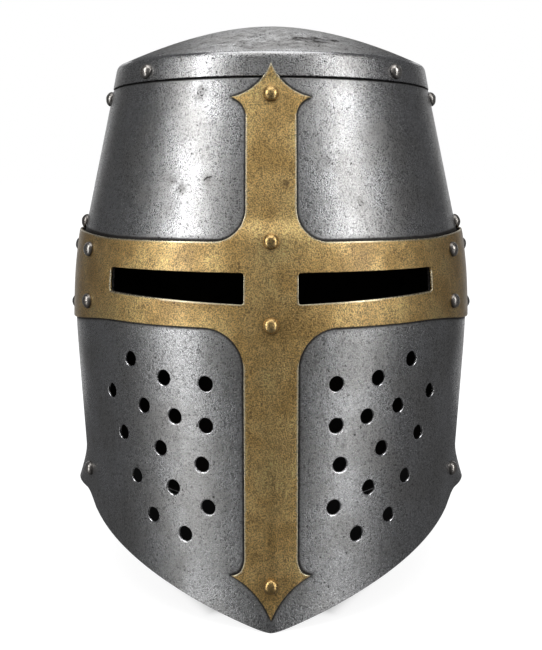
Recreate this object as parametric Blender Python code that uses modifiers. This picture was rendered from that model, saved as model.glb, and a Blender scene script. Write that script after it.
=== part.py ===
"""Great helm of riveted steel plates with a brass cross and sights.

The helm stands upright and faces -Y, and +X is its wearer's left. Its wall is a ring of
unlike sections, so each plate is cut out flat, as azimuth round the helm against height
above the chin, and is then bent onto the wall. Lengths are in metres, and azimuth runs
from 0 at the face to 180 degrees at the nape.
"""

from math import cos, hypot, pi, radians, sin, sqrt

import bmesh
import bpy
from mathutils import Matrix, Vector
from mathutils.geometry import delaunay_2d_cdt

for old in list(bpy.data.objects):
    bpy.data.objects.remove(old, do_unlink=True)

MM = 0.001

# Sheet thicknesses, the gap that pieces keep where they lie on each other, and the step
# that one steel plate makes to lie under another
STEEL_SHEET = 1.5 * MM
CROWN_SHEET = 1.2 * MM
BRASS_SHEET = 1.2 * MM
SEAT = 0.3 * MM
LAP_GAP = 0.5 * MM
LAP = STEEL_SHEET + LAP_GAP

# Plan of the wall: half an ellipse in front of the middle, a longer half behind it
FRONT_RATIO = 1.03
BACK_RATIO = 1.23
KEEL_DEPTH = 11 * MM
KEEL_TOP = 155 * MM

# Half width of the lower wall, outside, up the helm
LOWER_WALL = (
    # height, half width
    (0, 112.6),
    (18, 112.7),
    (40, 113.8),
    (80, 115.8),
    (120, 118.0),
    (150, 119.4),
    (165, 119.1),
    (185, 117.7),
    (205, 115.0),
)

# The upper wall is a cone that draws in towards the crown
CONE_TOP_HEIGHT = 287.3 * MM
CONE_TOP_HALF = 94.6 * MM
CONE_SLOPE = 0.224
JOGGLE_START = 284 * MM
JOGGLE_END = 287.2 * MM
JOGGLE_DEPTH = 1.3 * MM

# The lower corners turn out at the sides to clear the shoulders
FLARE_REACH = 5.05 * MM
NAPE_FLARE_SHARE = 0.88
FLARE_TOP = 75.5 * MM
FLARE_HEIGHT = 19.5 * MM
FLARE_START = radians(65)
FLARE_FULL = radians(87.6)
FLARE_CURVE = 1.5
FLARE_FADE = radians(104)
FLARE_END = radians(132)

# Lower edge of the helm: a shallow V at the chin, an arch over each shoulder, a flat nape
CHIN_SLOPE = 0.66 * MM / radians(1)
CHIN_ROUND = radians(2.4)
ARCH_HEIGHT = 50.6 * MM
ARCH_START = radians(65.8)
ARCH_FULL = radians(73.9)
ARCH_END = radians(104)
NAPE_START = radians(148)

# Seams between the front and the back plates, at the sides
UPPER_FRONT_END = radians(84)
UPPER_BACK_START = radians(75)
FACE_END_TOP = radians(98)
FACE_END_FOOT = radians(84)
NAPE_START_TOP = radians(85)
NAPE_START_WAIST = radians(80)
NAPE_START_FOOT = radians(60)
SEAM_WAIST = 180 * MM
SEAM_SHOULDER = 188 * MM
NAPE_EDGE_INSET = 2 * MM
NAPE_EDGE_EASE = radians(5)

# Behind its lap each back plate steps out, until it is flush with the front one
UPPER_STEP = (radians(88), radians(98))
LOWER_STEP = (radians(102), radians(112))
STEP_RISE = (206 * MM, 222 * MM)

# Where the plates end up and down the wall
UPPER_FOOT = 191 * MM
UPPER_TOP = 296.5 * MM
LOWER_TOP = 202 * MM

# Crown: a flange that follows the wall, a tight fold and a dome that rises to a point
CROWN_HEM = 287.4 * MM
CROWN_HEM_HALF = 94.85 * MM
CROWN_SLOPE = 0.21
CROWN_FOLD = (
    # height, half width
    (297.2, 92.79),
    (300.0, 92.0),
    (301.1, 90.7),
)
CROWN_APEX = 327.05 * MM
CROWN_APEX_BACK = 11.2 * MM
DOME_POWER = 1.72
DOME_RINGS = 3

# Sights
SIGHT_INNER = radians(6.7)
SIGHT_OUTER = radians(46.05)
SIGHT_TOP = 188.8 * MM
SIGHT_INNER_FOOT = 172.8 * MM
SIGHT_OUTER_FOOT = 175.9 * MM

# Breaths of one side
BREATH_RADIUS = 3.9 * MM
BREATHS = (
    # azimuth in degrees, height in millimetres
    (39.3, 140.5), (28.4, 132.6), (16.6, 131.2),
    (48.0, 120.5), (35.3, 116.0), (25.5, 112.5), (16.8, 109.1),
    (43.8, 98.3), (30.4, 94.0), (18.1, 88.0),
    (39.4, 75.5), (26.8, 73.4), (16.7, 65.2),
    (33.9, 55.5), (23.6, 48.6),
)

# Cross: the bar is measured across, the arms by their azimuth
BAR_TOP_HALF = 13.0 * MM
BAR_FOOT_HALF = 14.0 * MM
BAND_TOP = 204.2 * MM
BAND_FOOT = 160.6 * MM
BAND_TOP_SPREAD = 2.8 * MM
BAND_FOOT_SPREAD = 5.6 * MM
BAND_SPREAD_START = radians(44)
BAND_SPREAD_END = radians(80)
BAND_END = radians(96)
UPPER_FILLET = 17 * MM
LOWER_FILLET = 21 * MM

# The bar eases from the face plate up to the upper plate, and again over the flange
BAR_STEP = (203 * MM, 217 * MM)
FLANGE_LIFT = 0.42 * MM

# Pointed finials of the bar
HEAD_FINIAL = (
    # half width, height: bar edge, its curve's control, barb, the next control, tip
    (13.0, 268.5), (13.8, 277.5), (19.6, 277.2), (6.2, 280.0), (0.0, 294.6),
)
FOOT_FINIAL = (
    (14.0, 39.5), (14.9, 30.0), (21.5, 29.8), (7.0, 23.8), (0.0, 7.4),
)

# Rivets
RIVET_HEAD_RADIUS = 4.0 * MM
RIVET_HEAD_HEIGHT = 3.4 * MM
RIVET_SHANK_RADIUS = 2.0 * MM
RIVET_HOLE_RADIUS = 2.5 * MM
RIVET_TAIL = 0.6 * MM
RIVET_SIDES = 8
DRILL_SIDES = 6
DRILL_DEPTH = 30 * MM

# Facets: every plate bends at the same azimuths and heights, so that laps keep their gap
COLUMNS = [radians(azimuth) for azimuth in (
    0, 7.5, 15, 22.5, 30, 37.5, 45, 52.5, 60, 65, 70, 75, 80, 85, 90, 95, 100,
    107.5, 115, 122.5, 130, 140, 150, 160, 170, 180)]
ROWS = [height * MM for height in (
    18, 55, 66, 77, 112, 150, 168, 185, 202, 209, 217, 250, 284, 287.2)]
EDGE_CLEAR = 2.5 * MM
BREATH_SIDES = 8
CURVE_STEPS = 3


def blend(low, high, value):
    """Ease from 0 at low to 1 at high."""
    t = min(max((value - low) / (high - low), 0.0), 1.0)
    return t * t * (3 - 2 * t)


def lower_half(height):
    """Half width of the lower wall, from a smooth curve through its table."""
    rows = [(h * MM, w * MM) for h, w in LOWER_WALL]
    slopes = []
    for i in range(len(rows)):
        below, above = rows[max(i - 1, 0)], rows[min(i + 1, len(rows) - 1)]
        slopes.append((above[1] - below[1]) / (above[0] - below[0]))
    i = 0
    while i < len(rows) - 2 and height > rows[i + 1][0]:
        i += 1
    (h0, w0), (h1, w1) = rows[i], rows[i + 1]
    span = h1 - h0
    t = (height - h0) / span
    if t > 1:
        return w1 + (height - h1) * slopes[i + 1]
    return ((1 + 2 * t) * (1 - t) ** 2 * w0 + t * (1 - t) ** 2 * span * slopes[i]
            + t * t * (3 - 2 * t) * w1 + t * t * (t - 1) * span * slopes[i + 1])


def cone_half(height):
    """Half width of the upper wall where nothing lies over it."""
    return CONE_TOP_HALF + (CONE_TOP_HEIGHT - height) * CONE_SLOPE


def upper_half(height):
    """The upper wall tucks under the lower plates, and steps in under the crown flange."""
    joggle = JOGGLE_DEPTH * blend(JOGGLE_START, JOGGLE_END, height)
    if height > STEP_RISE[0]:
        return cone_half(height) - joggle
    return min(cone_half(height), lower_half(height) - LAP)


def crown_half(height):
    """Half width of the crown's flange."""
    return CROWN_HEM_HALF - (height - CROWN_HEM) * CROWN_SLOPE


def cross_half(height):
    """The brass lies on the face plate below, on the upper wall above and on the flange."""
    over_steel = BRASS_SHEET + SEAT
    on_face = lower_half(min(height, BAR_STEP[1])) + over_steel
    on_wall = cone_half(height) + over_steel + FLANGE_LIFT * blend(JOGGLE_START, JOGGLE_END, height)
    return on_face + (on_wall - on_face) * blend(*BAR_STEP, height)


def flare(azimuth, height):
    """How far the lower corner is turned out at this place."""
    turn = abs(azimuth)
    around = blend(FLARE_START, FLARE_FULL, turn) * (1 - blend(FLARE_FADE, FLARE_END, turn))
    down = min(max((FLARE_TOP - height) / FLARE_HEIGHT, 0.0), 1.2)
    return FLARE_REACH * around * down ** FLARE_CURVE


def keel(azimuth, height):
    """How far the front stands out along its middle line, growing towards the chin."""
    if cos(azimuth) <= 0 or height > KEEL_TOP:
        return 0.0
    return KEEL_DEPTH * (KEEL_TOP - height) / KEEL_TOP * (1 - abs(sin(azimuth))) ** 2


def lap_inset(azimuth, height, layer):
    """How far a back plate lies inside the front one at its lap, and fading out behind it."""
    turn = abs(azimuth)
    lower = 1 - blend(*LOWER_STEP, turn)
    if layer == "nape":
        return LAP * lower
    upper = 1 - blend(*UPPER_STEP, turn)
    return LAP * (lower + (upper - lower) * blend(*STEP_RISE, height))


def wall_point(azimuth, height, layer):
    """A point of a layer's outer face."""
    halves = {"upper front": upper_half, "upper back": upper_half, "crown": crown_half,
              "cross": cross_half, "face": lower_half, "nape": lower_half}
    half = halves[layer](height)
    lower = layer in ("cross", "face", "nape")
    if lower:
        half += flare(azimuth, height) * (NAPE_FLARE_SHARE if layer == "nape" else 1)
    depth = half * (FRONT_RATIO if cos(azimuth) > 0 else BACK_RATIO)
    point = Vector((half * sin(azimuth), -depth * cos(azimuth), height))
    if lower:
        point.y -= keel(azimuth, height)
    if layer in ("nape", "upper back"):
        outward = Vector((sin(azimuth) / half, -cos(azimuth) / depth, 0)).normalized()
        point -= outward * lap_inset(azimuth, height, layer)
    return point


def wall_normal(azimuth, height, layer):
    """The outward direction, square to a layer's face."""
    step = radians(0.5)
    rise = 1 * MM
    around = wall_point(azimuth + step, height, layer) - wall_point(azimuth - step, height, layer)
    up = wall_point(azimuth, height + rise, layer) - wall_point(azimuth, height - rise, layer)
    return around.cross(up).normalized()


def lower_edge(azimuth):
    """Height of the helm's lower edge."""
    turn = abs(azimuth)
    chin = CHIN_SLOPE * (sqrt(turn ** 2 + CHIN_ROUND ** 2) - CHIN_ROUND)
    side = chin + (ARCH_HEIGHT - chin) * blend(ARCH_START, ARCH_FULL, turn)
    return side * (1 - blend(ARCH_END, NAPE_START, turn))


def make_material(name, colour, roughness):
    """A plain metal of the given linear colour."""
    material = bpy.data.materials.new(name)
    material.use_nodes = True
    shader = material.node_tree.nodes["Principled BSDF"]
    shader.inputs["Base Color"].default_value = (*colour, 1)
    shader.inputs["Metallic"].default_value = 1.0
    shader.inputs["Roughness"].default_value = roughness
    return material


def between(low, high, marks):
    """The marks that lie inside a span, in the order that the span runs."""
    inner = [mark for mark in marks if min(low, high) + 1e-6 < mark < max(low, high) - 1e-6]
    return inner if low < high else inner[::-1]


def line(*corners):
    """Points along straight runs of azimuth and height, with one at each column and row."""
    points = [corners[0]]
    for (a0, h0), (a1, h1) in zip(corners, corners[1:]):
        shares = [(a - a0) / (a1 - a0) for a in between(a0, a1, COLUMNS)]
        shares += [(h - h0) / (h1 - h0) for h in between(h0, h1, ROWS)]
        points += [(a0 + (a1 - a0) * t, h0 + (h1 - h0) * t) for t in sorted(shares) + [1]]
    return points


def edge_line(start, end, height_at):
    """Points from one azimuth to another, at the height that a function gives."""
    azimuths = [start] + between(start, end, COLUMNS) + [end]
    return [(azimuth, height_at(azimuth)) for azimuth in azimuths]


def curve(start, control, end):
    """Points of a quadratic curve, without its first one."""
    points = []
    for i in range(1, CURVE_STEPS + 1):
        t = i / CURVE_STEPS
        points.append(tuple((1 - t) ** 2 * a + 2 * t * (1 - t) * b + t * t * c
                            for a, b, c in zip(start, control, end)))
    return points


def sight_loop():
    """Outline of a sight, slightly taller beside the nose."""
    foot = line((SIGHT_INNER, SIGHT_INNER_FOOT), (SIGHT_OUTER, SIGHT_OUTER_FOOT))
    return foot + line((SIGHT_OUTER, SIGHT_TOP), (SIGHT_INNER, SIGHT_TOP))


def breath_loop(azimuth, height):
    """A round breath, measured on the wall itself."""
    loop = []
    for i in range(BREATH_SIDES):
        turn = 2 * pi * (i + 0.5) / BREATH_SIDES
        across = BREATH_RADIUS * cos(turn) / lower_half(height)
        loop.append((azimuth + across, height + BREATH_RADIUS * sin(turn)))
    return loop


def without_repeats(points):
    """The same loop with no point given twice in a row."""
    kept = []
    for point in points:
        if not kept or hypot(*(a - b for a, b in zip(point, kept[-1]))) > 1e-6:
            kept.append(point)
    if hypot(*(a - b for a, b in zip(kept[0], kept[-1]))) < 1e-6:
        kept.pop()
    return kept


def inside(point, loops):
    """Whether a flat point lies in the sheet, and not in one of its holes."""
    crossings = 0
    x, y = point
    for loop in loops:
        for (x0, y0), (x1, y1) in zip(loop, loop[1:] + loop[:1]):
            if (y0 > y) != (y1 > y) and x < x0 + (x1 - x0) * (y - y0) / (y1 - y0):
                crossings += 1
    return crossings % 2 == 1


def cut_sheet(outline, holes):
    """Triangles of a flat sheet between its outline and its holes."""
    radius = lower_half(KEEL_TOP)
    loops = [[(a * radius, h) for a, h in without_repeats(loop)] for loop in [outline] + holes]
    points, rims = [], []
    for loop in loops:
        rims.append(list(range(len(points), len(points) + len(loop))))
        points += loop
    edge_points = list(points)
    for x, y in [(azimuth * radius, height) for azimuth in COLUMNS for height in ROWS]:
        near = min(hypot(x - px, y - py) for px, py in edge_points)
        if near > EDGE_CLEAR and inside((x, y), loops):
            points.append((x, y))
    holes_left_open = 2
    flat = delaunay_2d_cdt([Vector(p) for p in points], [], rims, holes_left_open, 1e-7)
    return [(p.x / radius, p.y) for p in flat[0]], [tuple(face) for face in flat[2]]


def bend_sheet(name, layer, sheet, outline, holes, material):
    """Cut half a plate flat, bend it onto the wall, mirror it and give it its thickness."""
    flat, faces = cut_sheet(outline, holes)
    corners = [wall_point(azimuth, height, layer) for azimuth, height in flat]
    for corner in corners:
        if abs(corner.x) < 1e-6:
            corner.x = 0.0
    mesh = bpy.data.meshes.new(name)
    mesh.from_pydata(corners, [], faces)
    plate = add_piece(name, mesh, material)
    mirror = plate.modifiers.new("other half", "MIRROR")
    mirror.merge_threshold = 0.01 * MM
    thicken(plate, sheet)
    return plate


def thicken(plate, sheet):
    """Give an outer skin its thickness, inwards."""
    solid = plate.modifiers.new("sheet", "SOLIDIFY")
    solid.thickness = sheet
    solid.offset = -1
    solid.use_even_offset = True


def add_piece(name, mesh, material):
    """Put a mesh in the helm's collection, under its name."""
    piece = bpy.data.objects.new(name, mesh)
    mesh.materials.append(material)
    helm.objects.link(piece)
    piece.parent = stand
    return piece


def spread(azimuth):
    """How far along its widening an arm of the cross has come."""
    return blend(BAND_SPREAD_START, BAND_SPREAD_END, azimuth)


def band_top(azimuth):
    return BAND_TOP + BAND_TOP_SPREAD * spread(azimuth)


def band_foot(azimuth):
    return BAND_FOOT - BAND_FOOT_SPREAD * spread(azimuth)


def finial(rows):
    """Half a finial from the bar's edge, out to the barb and in to the tip, as azimuth and height."""
    edge, first, barb, second, tip = [(x * MM, h * MM) for x, h in rows]
    flat = [edge] + curve(edge, first, barb) + curve(barb, second, tip)
    return [(x / cross_half(h), h) for x, h in flat]


def fillet(half, edge, radius, side):
    """The rounded inner corner between the bar and an arm; side is 1 above and -1 below."""
    points = []
    for i in range(2 * CURVE_STEPS + 1):
        turn = pi / 2 * i / (2 * CURVE_STEPS)
        x = half + radius * (1 - cos(turn))
        height = edge + side * radius * (1 - sin(turn))
        points.append((x / cross_half(height), height))
    return points


def cross_outline():
    """Half the cross, from its foot round the arm's end to its head."""
    low = fillet(BAR_FOOT_HALF, BAND_FOOT, LOWER_FILLET, -1)
    high = fillet(BAR_TOP_HALF, BAND_TOP, UPPER_FILLET, 1)
    foot, head = finial(FOOT_FINIAL), finial(HEAD_FINIAL)
    outline = foot[::-1] + line(foot[0], low[0]) + low
    outline += edge_line(low[-1][0], BAND_END, band_foot)
    outline += line((BAND_END, band_foot(BAND_END)), (BAND_END, band_top(BAND_END)))
    outline += edge_line(BAND_END, high[-1][0], band_top) + high[::-1]
    outline += line(high[0], head[0]) + head
    return outline + line(head[-1], foot[-1])


def face_outline():
    """Half the face plate, up from the chin."""
    foot = edge_line(0, FACE_END_FOOT, lower_edge)
    back = line(foot[-1], (FACE_END_TOP, SEAM_WAIST), (FACE_END_TOP, LOWER_TOP))
    return foot + back + line((FACE_END_TOP, LOWER_TOP), (0, LOWER_TOP), foot[0])


def nape_edge(azimuth):
    """The nape plate stays just inside the face plate's edge where the two lap."""
    lap = 1 - blend(FACE_END_FOOT, FACE_END_FOOT + NAPE_EDGE_EASE, azimuth)
    return lower_edge(azimuth) + NAPE_EDGE_INSET * lap


def nape_outline():
    """Half the nape plate, its front edge trimmed clear of the upper front plate."""
    foot = edge_line(NAPE_START_FOOT, pi, nape_edge)
    back = line(foot[-1], (pi, LOWER_TOP), (NAPE_START_TOP, LOWER_TOP))
    front = line(back[-1], (NAPE_START_TOP, SEAM_SHOULDER), (NAPE_START_WAIST, SEAM_WAIST),
                 (NAPE_START_FOOT, FLARE_TOP), foot[0])
    return foot + back + front


def upper_outline(start, end):
    """Half an upper plate, plain all round."""
    return line((start, UPPER_FOOT), (end, UPPER_FOOT), (end, UPPER_TOP),
                (start, UPPER_TOP), (start, UPPER_FOOT))


def crown_rings():
    """Half width, height and shift to the back of each ring, from the hem up to the point."""
    rings = [(CROWN_HEM_HALF, CROWN_HEM, 0.0)]
    rings += [(half * MM, height * MM, 0.0) for height, half in CROWN_FOLD]
    foot_half, foot_height, _ = rings[-1]
    for i in range(DOME_RINGS, 0, -1):
        share = i / (DOME_RINGS + 1)
        height = CROWN_APEX - (CROWN_APEX - foot_height) * share ** DOME_POWER
        rings.append((foot_half * share, height, CROWN_APEX_BACK * (1 - share)))
    return rings


def make_crown(material):
    """Loft the crown's skin through its rings, close it at the point and thicken it."""
    shell = bmesh.new()
    rows = []
    azimuths = COLUMNS + [-azimuth for azimuth in COLUMNS[-2:0:-1]]
    around = len(azimuths)
    for half, height, shift in crown_rings():
        row = []
        for azimuth in azimuths:
            depth = half * (FRONT_RATIO if cos(azimuth) > 0 else BACK_RATIO)
            place = (half * sin(azimuth), shift - depth * cos(azimuth), height)
            row.append(shell.verts.new(place))
        rows.append(row)
    for low, high in zip(rows, rows[1:]):
        for i in range(around):
            j = (i + 1) % around
            shell.faces.new((low[i], low[j], high[j], high[i]))
    apex = shell.verts.new((0, CROWN_APEX_BACK, CROWN_APEX))
    for i in range(around):
        shell.faces.new((rows[-1][i], rows[-1][(i + 1) % around], apex))
    mesh = bpy.data.meshes.new("crown_plate")
    shell.to_mesh(mesh)
    shell.free()
    crown = add_piece("crown_plate", mesh, material)
    thicken(crown, CROWN_SHEET)
    return crown


def turned_rivet(grip):
    """Profile of a rivet: a dome head, and a shank as long as what it holds."""
    outline = [(RIVET_HEAD_RADIUS * sin(turn), RIVET_HEAD_HEIGHT * cos(turn))
               for turn in (0, pi / 4, pi / 2)]
    outline += [(RIVET_SHANK_RADIUS, 0), (RIVET_SHANK_RADIUS, -grip), (0, -grip)]
    mesh = bpy.data.meshes.new("rivet profile")
    places = [(x, 0, z) for x, z in outline]
    mesh.from_pydata(places, [(i, i + 1) for i in range(len(places) - 1)], [])
    return mesh


def stand_off(azimuth, height, layer):
    """How far a rivet's head stands off, to clear the wall that swells under its rim."""
    place, out = wall_point(azimuth, height, layer), wall_normal(azimuth, height, layer)
    swell = 0.0
    for i in range(12):
        turn = pi / 6 * i
        rim = wall_point(azimuth + RIVET_HEAD_RADIUS * cos(turn) / lower_half(height),
                         height + RIVET_HEAD_RADIUS * sin(turn), layer)
        swell = max(swell, (rim - place).dot(out))
    return swell + SEAT


def make_rivet(name, azimuth, height, plates, material):
    """Set a rivet square to the wall, and drill every plate that it passes through."""
    top = plates[0]
    out = wall_normal(azimuth, height, LAYERS[top])
    place = wall_point(azimuth, height, LAYERS[top])
    grip = sum(SHEETS[plate] + LAP_GAP for plate in plates) + RIVET_TAIL
    rivet = add_piece(name, turned_rivet(grip), material)
    rivet.rotation_euler = out.to_track_quat("Z", "X").to_euler()
    rivet.location = place + out * stand_off(azimuth, height, LAYERS[top])
    screw = rivet.modifiers.new("turned", "SCREW")
    screw.steps = RIVET_SIDES
    screw.render_steps = RIVET_SIDES
    screw.use_merge_vertices = True
    screw.merge_threshold = 0.01 * MM
    for plate in plates:
        drills[plate].append(Matrix.LocRotScale(place, out.to_track_quat("Z", "X"), None))


def drill(plate, places):
    """Cut the rivet holes of one plate."""
    pins = bmesh.new()
    for place in places:
        bmesh.ops.create_cone(pins, cap_ends=True, segments=DRILL_SIDES, radius1=RIVET_HOLE_RADIUS,
                              radius2=RIVET_HOLE_RADIUS, depth=DRILL_DEPTH, matrix=place)
    mesh = bpy.data.meshes.new("drills " + plate.name)
    pins.to_mesh(mesh)
    pins.free()
    cutter = bpy.data.objects.new("drills_" + plate.name, mesh)
    cutters.objects.link(cutter)
    cutter.parent = stand
    cutter.hide_render = True
    cutter.display_type = "WIRE"
    cut = plate.modifiers.new("rivet holes", "BOOLEAN")
    cut.object = cutter


# What each plate is laid on, and how thick it is
LAYERS = {"crown_plate": "crown", "upper_front_plate": "upper front",
          "upper_back_plate": "upper back", "face_plate": "face",
          "nape_plate": "nape", "brass_cross": "cross"}
SHEETS = {name: STEEL_SHEET for name in LAYERS}
SHEETS["crown_plate"] = CROWN_SHEET
SHEETS["brass_cross"] = BRASS_SHEET

# Rivets that lie on both sides are given once
RIVETS = (
    # name, azimuth, height, metal, plates from the outside in
    ("cross_rivet_head", 0, 278.9, "brass", ("brass_cross", "upper_front_plate")),
    ("cross_rivet_brow", 0, 204.5, "brass", ("brass_cross", "upper_front_plate")),
    ("cross_rivet_nose", 0, 162.3, "brass", ("brass_cross", "face_plate")),
    ("cross_rivet_foot", 0, 25.8, "brass", ("brass_cross", "face_plate")),
    ("arm_rivet_upper", 59.7, 196.8, "steel", ("brass_cross", "face_plate", "upper_front_plate")),
    ("arm_rivet_lower", 58.3, 168.2, "steel", ("brass_cross", "face_plate")),
    ("arm_end_rivet_upper", 90, 196.2, "steel",
     ("brass_cross", "face_plate", "nape_plate", "upper_back_plate")),
    ("arm_end_rivet_lower", 90, 160.5, "steel", ("brass_cross", "face_plate", "nape_plate")),
    ("seam_rivet_upper", 79.5, 282.3, "steel", ("upper_front_plate", "upper_back_plate")),
    ("seam_rivet_lower", 79.5, 211.0, "steel", ("upper_front_plate", "upper_back_plate")),
    ("corner_rivet", 69.5, 64.8, "steel", ("face_plate", "nape_plate")),
    ("crown_rivet_front", 46, 293.2, "steel", ("crown_plate", "upper_front_plate")),
    ("crown_rivet_back", 134, 293.2, "steel", ("crown_plate", "upper_back_plate")),
    ("crown_rivet_nape", 180, 293.2, "steel", ("crown_plate", "upper_back_plate")),
    ("nape_rivet_outer", 119, 196.4, "steel", ("nape_plate", "upper_back_plate")),
    ("nape_rivet_inner", 150, 196.4, "steel", ("nape_plate", "upper_back_plate")),
    ("nape_rivet_middle", 180, 196.4, "steel", ("nape_plate", "upper_back_plate")),
)

helm = bpy.data.collections.new("great_helm")
cutters = bpy.data.collections.new("cutters")
for collection in (helm, cutters):
    bpy.context.scene.collection.children.link(collection)
stand = bpy.data.objects.new("stand", None)
helm.objects.link(stand)

steel = make_material("steel sheet", (0.30, 0.30, 0.31), 0.35)
brass = make_material("brass sheet", (0.36, 0.26, 0.12), 0.38)
rivet_metals = {"steel": make_material("rivet steel", (0.34, 0.32, 0.30), 0.3),
                "brass": make_material("rivet brass", (0.42, 0.31, 0.15), 0.3)}

sight = sight_loop()
breaths = [breath_loop(radians(azimuth), height * MM) for azimuth, height in BREATHS]
plates = [
    bend_sheet("upper_front_plate", "upper front", STEEL_SHEET,
               upper_outline(0, UPPER_FRONT_END), [], steel),
    bend_sheet("upper_back_plate", "upper back", STEEL_SHEET,
               upper_outline(UPPER_BACK_START, pi), [], steel),
    bend_sheet("face_plate", "face", STEEL_SHEET, face_outline(), [sight] + breaths, steel),
    bend_sheet("nape_plate", "nape", STEEL_SHEET, nape_outline(), [], steel),
    bend_sheet("brass_cross", "cross", BRASS_SHEET, cross_outline(), [sight], brass),
    make_crown(steel),
]

drills = {plate.name: [] for plate in plates}
for name, azimuth, height, metal, held in RIVETS:
    paired = azimuth not in (0, 180)
    for side, label in ((1, "_left"), (-1, "_right")) if paired else ((1, ""),):
        make_rivet(name + label, side * radians(azimuth), height * MM, held, rivet_metals[metal])
for plate in plates:
    drill(plate, drills[plate.name])

# Stand the helm so that the middle of its box is over the origin, and its edge is at zero
graph = bpy.context.evaluated_depsgraph_get()
corners = []
for piece in helm.objects:
    if piece.type == "MESH":
        seen = piece.evaluated_get(graph)
        corners += [seen.matrix_world @ vertex.co for vertex in seen.data.vertices]
reach = [corner.y for corner in corners]
stand.location = (0, -(min(reach) + max(reach)) / 2, -min(corner.z for corner in corners))
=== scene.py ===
# %% [markdown]
# A great helm, dressed
# This lesson takes the bare, faceted model of a great helm and gives it the look of real
# metal. Every plate is made again in the same place, finer than before: smooth where the
# hammer left it smooth, rounded where the file broke its edges, and stained where hands and
# damp air have been. The steps run from the wall's shape to the plates, the rivets, the
# finishes, and last the light and the camera.

import math

import bpy
import numpy as np
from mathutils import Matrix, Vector, kdtree
from mathutils.geometry import delaunay_2d_cdt


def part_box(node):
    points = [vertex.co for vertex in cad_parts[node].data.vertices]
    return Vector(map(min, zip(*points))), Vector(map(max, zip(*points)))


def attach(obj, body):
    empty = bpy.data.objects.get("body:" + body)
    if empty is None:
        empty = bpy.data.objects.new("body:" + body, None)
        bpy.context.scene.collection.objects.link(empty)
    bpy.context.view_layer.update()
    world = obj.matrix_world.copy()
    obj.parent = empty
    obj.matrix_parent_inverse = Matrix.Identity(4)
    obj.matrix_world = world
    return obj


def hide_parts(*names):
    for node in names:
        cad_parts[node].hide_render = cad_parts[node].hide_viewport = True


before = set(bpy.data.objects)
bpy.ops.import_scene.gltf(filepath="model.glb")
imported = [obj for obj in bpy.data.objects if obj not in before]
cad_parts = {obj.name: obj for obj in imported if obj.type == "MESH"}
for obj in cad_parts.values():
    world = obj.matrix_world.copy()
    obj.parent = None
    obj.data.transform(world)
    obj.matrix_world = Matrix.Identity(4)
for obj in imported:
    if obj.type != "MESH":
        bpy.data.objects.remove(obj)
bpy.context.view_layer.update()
MM = 0.001

# %% [markdown]
# The shape of the wall
# The helm's wall is a ring: half an ellipse in front, a longer half behind, wider or
# narrower at each height. A smith would cut each plate flat and bend it round a stake. The
# same idea works here: a plate is drawn flat, as azimuth round the helm against height
# above the chin, and one function bends it onto the wall. Azimuth is 0 at the face and 180
# degrees at the nape. Heights are measured from the point of the chin.

# %% Sizes of the wall, in millimetres and degrees
STEEL_SHEET = 1.5
CROWN_SHEET = 1.2
BRASS_SHEET = 1.2
SEAT = 0.3
LAP = STEEL_SHEET + 0.5

FRONT_RATIO = 1.03
BACK_RATIO = 1.23
KEEL_DEPTH = 11
KEEL_TOP = 155

# height, half width
LOWER_WALL = (
    (0, 112.6),
    (18, 112.7),
    (40, 113.8),
    (80, 115.8),
    (120, 118.0),
    (150, 119.4),
    (165, 119.1),
    (185, 117.7),
    (205, 115.0),
)
CONE_TOP = 287.3
CONE_TOP_HALF = 94.6
CONE_SLOPE = 0.224
JOGGLE = (286.6, 288.4)
JOGGLE_DEPTH = 1.3
LOWER_TOP = 202
BAR_STEP = (203, 217)
FLANGE_LIFT = 0.42
CROWN_HEM = 288.1
CROWN_HEM_HALF = 94.85
CROWN_SLOPE = 0.21

# The plan's centre lies off the middle of the box, which the nape plate and the rivet at the
# cross's foot set
half_depth = max(half for height, half in LOWER_WALL) * BACK_RATIO
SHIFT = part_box("nape_plate")[1].y - half_depth * MM
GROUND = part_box("nape_plate")[0].z
print("plan centre at y =", round(SHIFT / MM, 2), "mm, chin at z =", round(GROUND / MM, 2), "mm")

# %% Curves through the tables
def blend(low, high, value):
    """Ease from 0 at low to 1 at high."""
    t = np.clip((value - low) / (high - low), 0, 1)
    return t * t * (3 - 2 * t)


def lower_half(height):
    """Half width of the lower wall, from a smooth curve through its table."""
    heights, halves = np.array(LOWER_WALL, float).T
    last = len(heights) - 1
    steps = [(max(i - 1, 0), min(i + 1, last)) for i in range(last + 1)]
    slopes = np.array([(halves[b] - halves[a]) / (heights[b] - heights[a]) for a, b in steps])
    height = np.asarray(height, float)
    i = np.clip(np.searchsorted(heights, height, side="left") - 1, 0, last - 1)
    span = heights[i + 1] - heights[i]
    t = (height - heights[i]) / span
    inside = ((1 + 2 * t) * (1 - t) ** 2 * halves[i] + t * (1 - t) ** 2 * span * slopes[i]
              + t * t * (3 - 2 * t) * halves[i + 1] + t * t * (t - 1) * span * slopes[i + 1])
    return np.where(t > 1, halves[i + 1] + (height - heights[i + 1]) * slopes[i + 1], inside)


def cone_half(height):
    """Half width of the upper wall where nothing lies over it."""
    return CONE_TOP_HALF + (CONE_TOP - height) * CONE_SLOPE


def upper_half(height):
    """The upper wall tucks under the lower plates, and steps in under the crown's flange."""
    tucked = np.minimum(cone_half(height), lower_half(height) - LAP)
    stepped = cone_half(height) - JOGGLE_DEPTH * blend(*JOGGLE, height)
    return np.where(height > 206, stepped, tucked)


def cross_half(height):
    """The brass lies on the face plate below, on the upper wall above and on the flange."""
    over_steel = BRASS_SHEET + SEAT
    on_face = lower_half(np.minimum(height, BAR_STEP[1])) + over_steel
    on_wall = cone_half(height) + over_steel + FLANGE_LIFT * blend(*JOGGLE, height)
    return on_face + (on_wall - on_face) * blend(*BAR_STEP, height)


for height in (50, 150, 195, 230, 280):
    print("half width at", height, "mm:", round(float(lower_half(height)), 1),
          round(float(cone_half(height)), 1))

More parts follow.
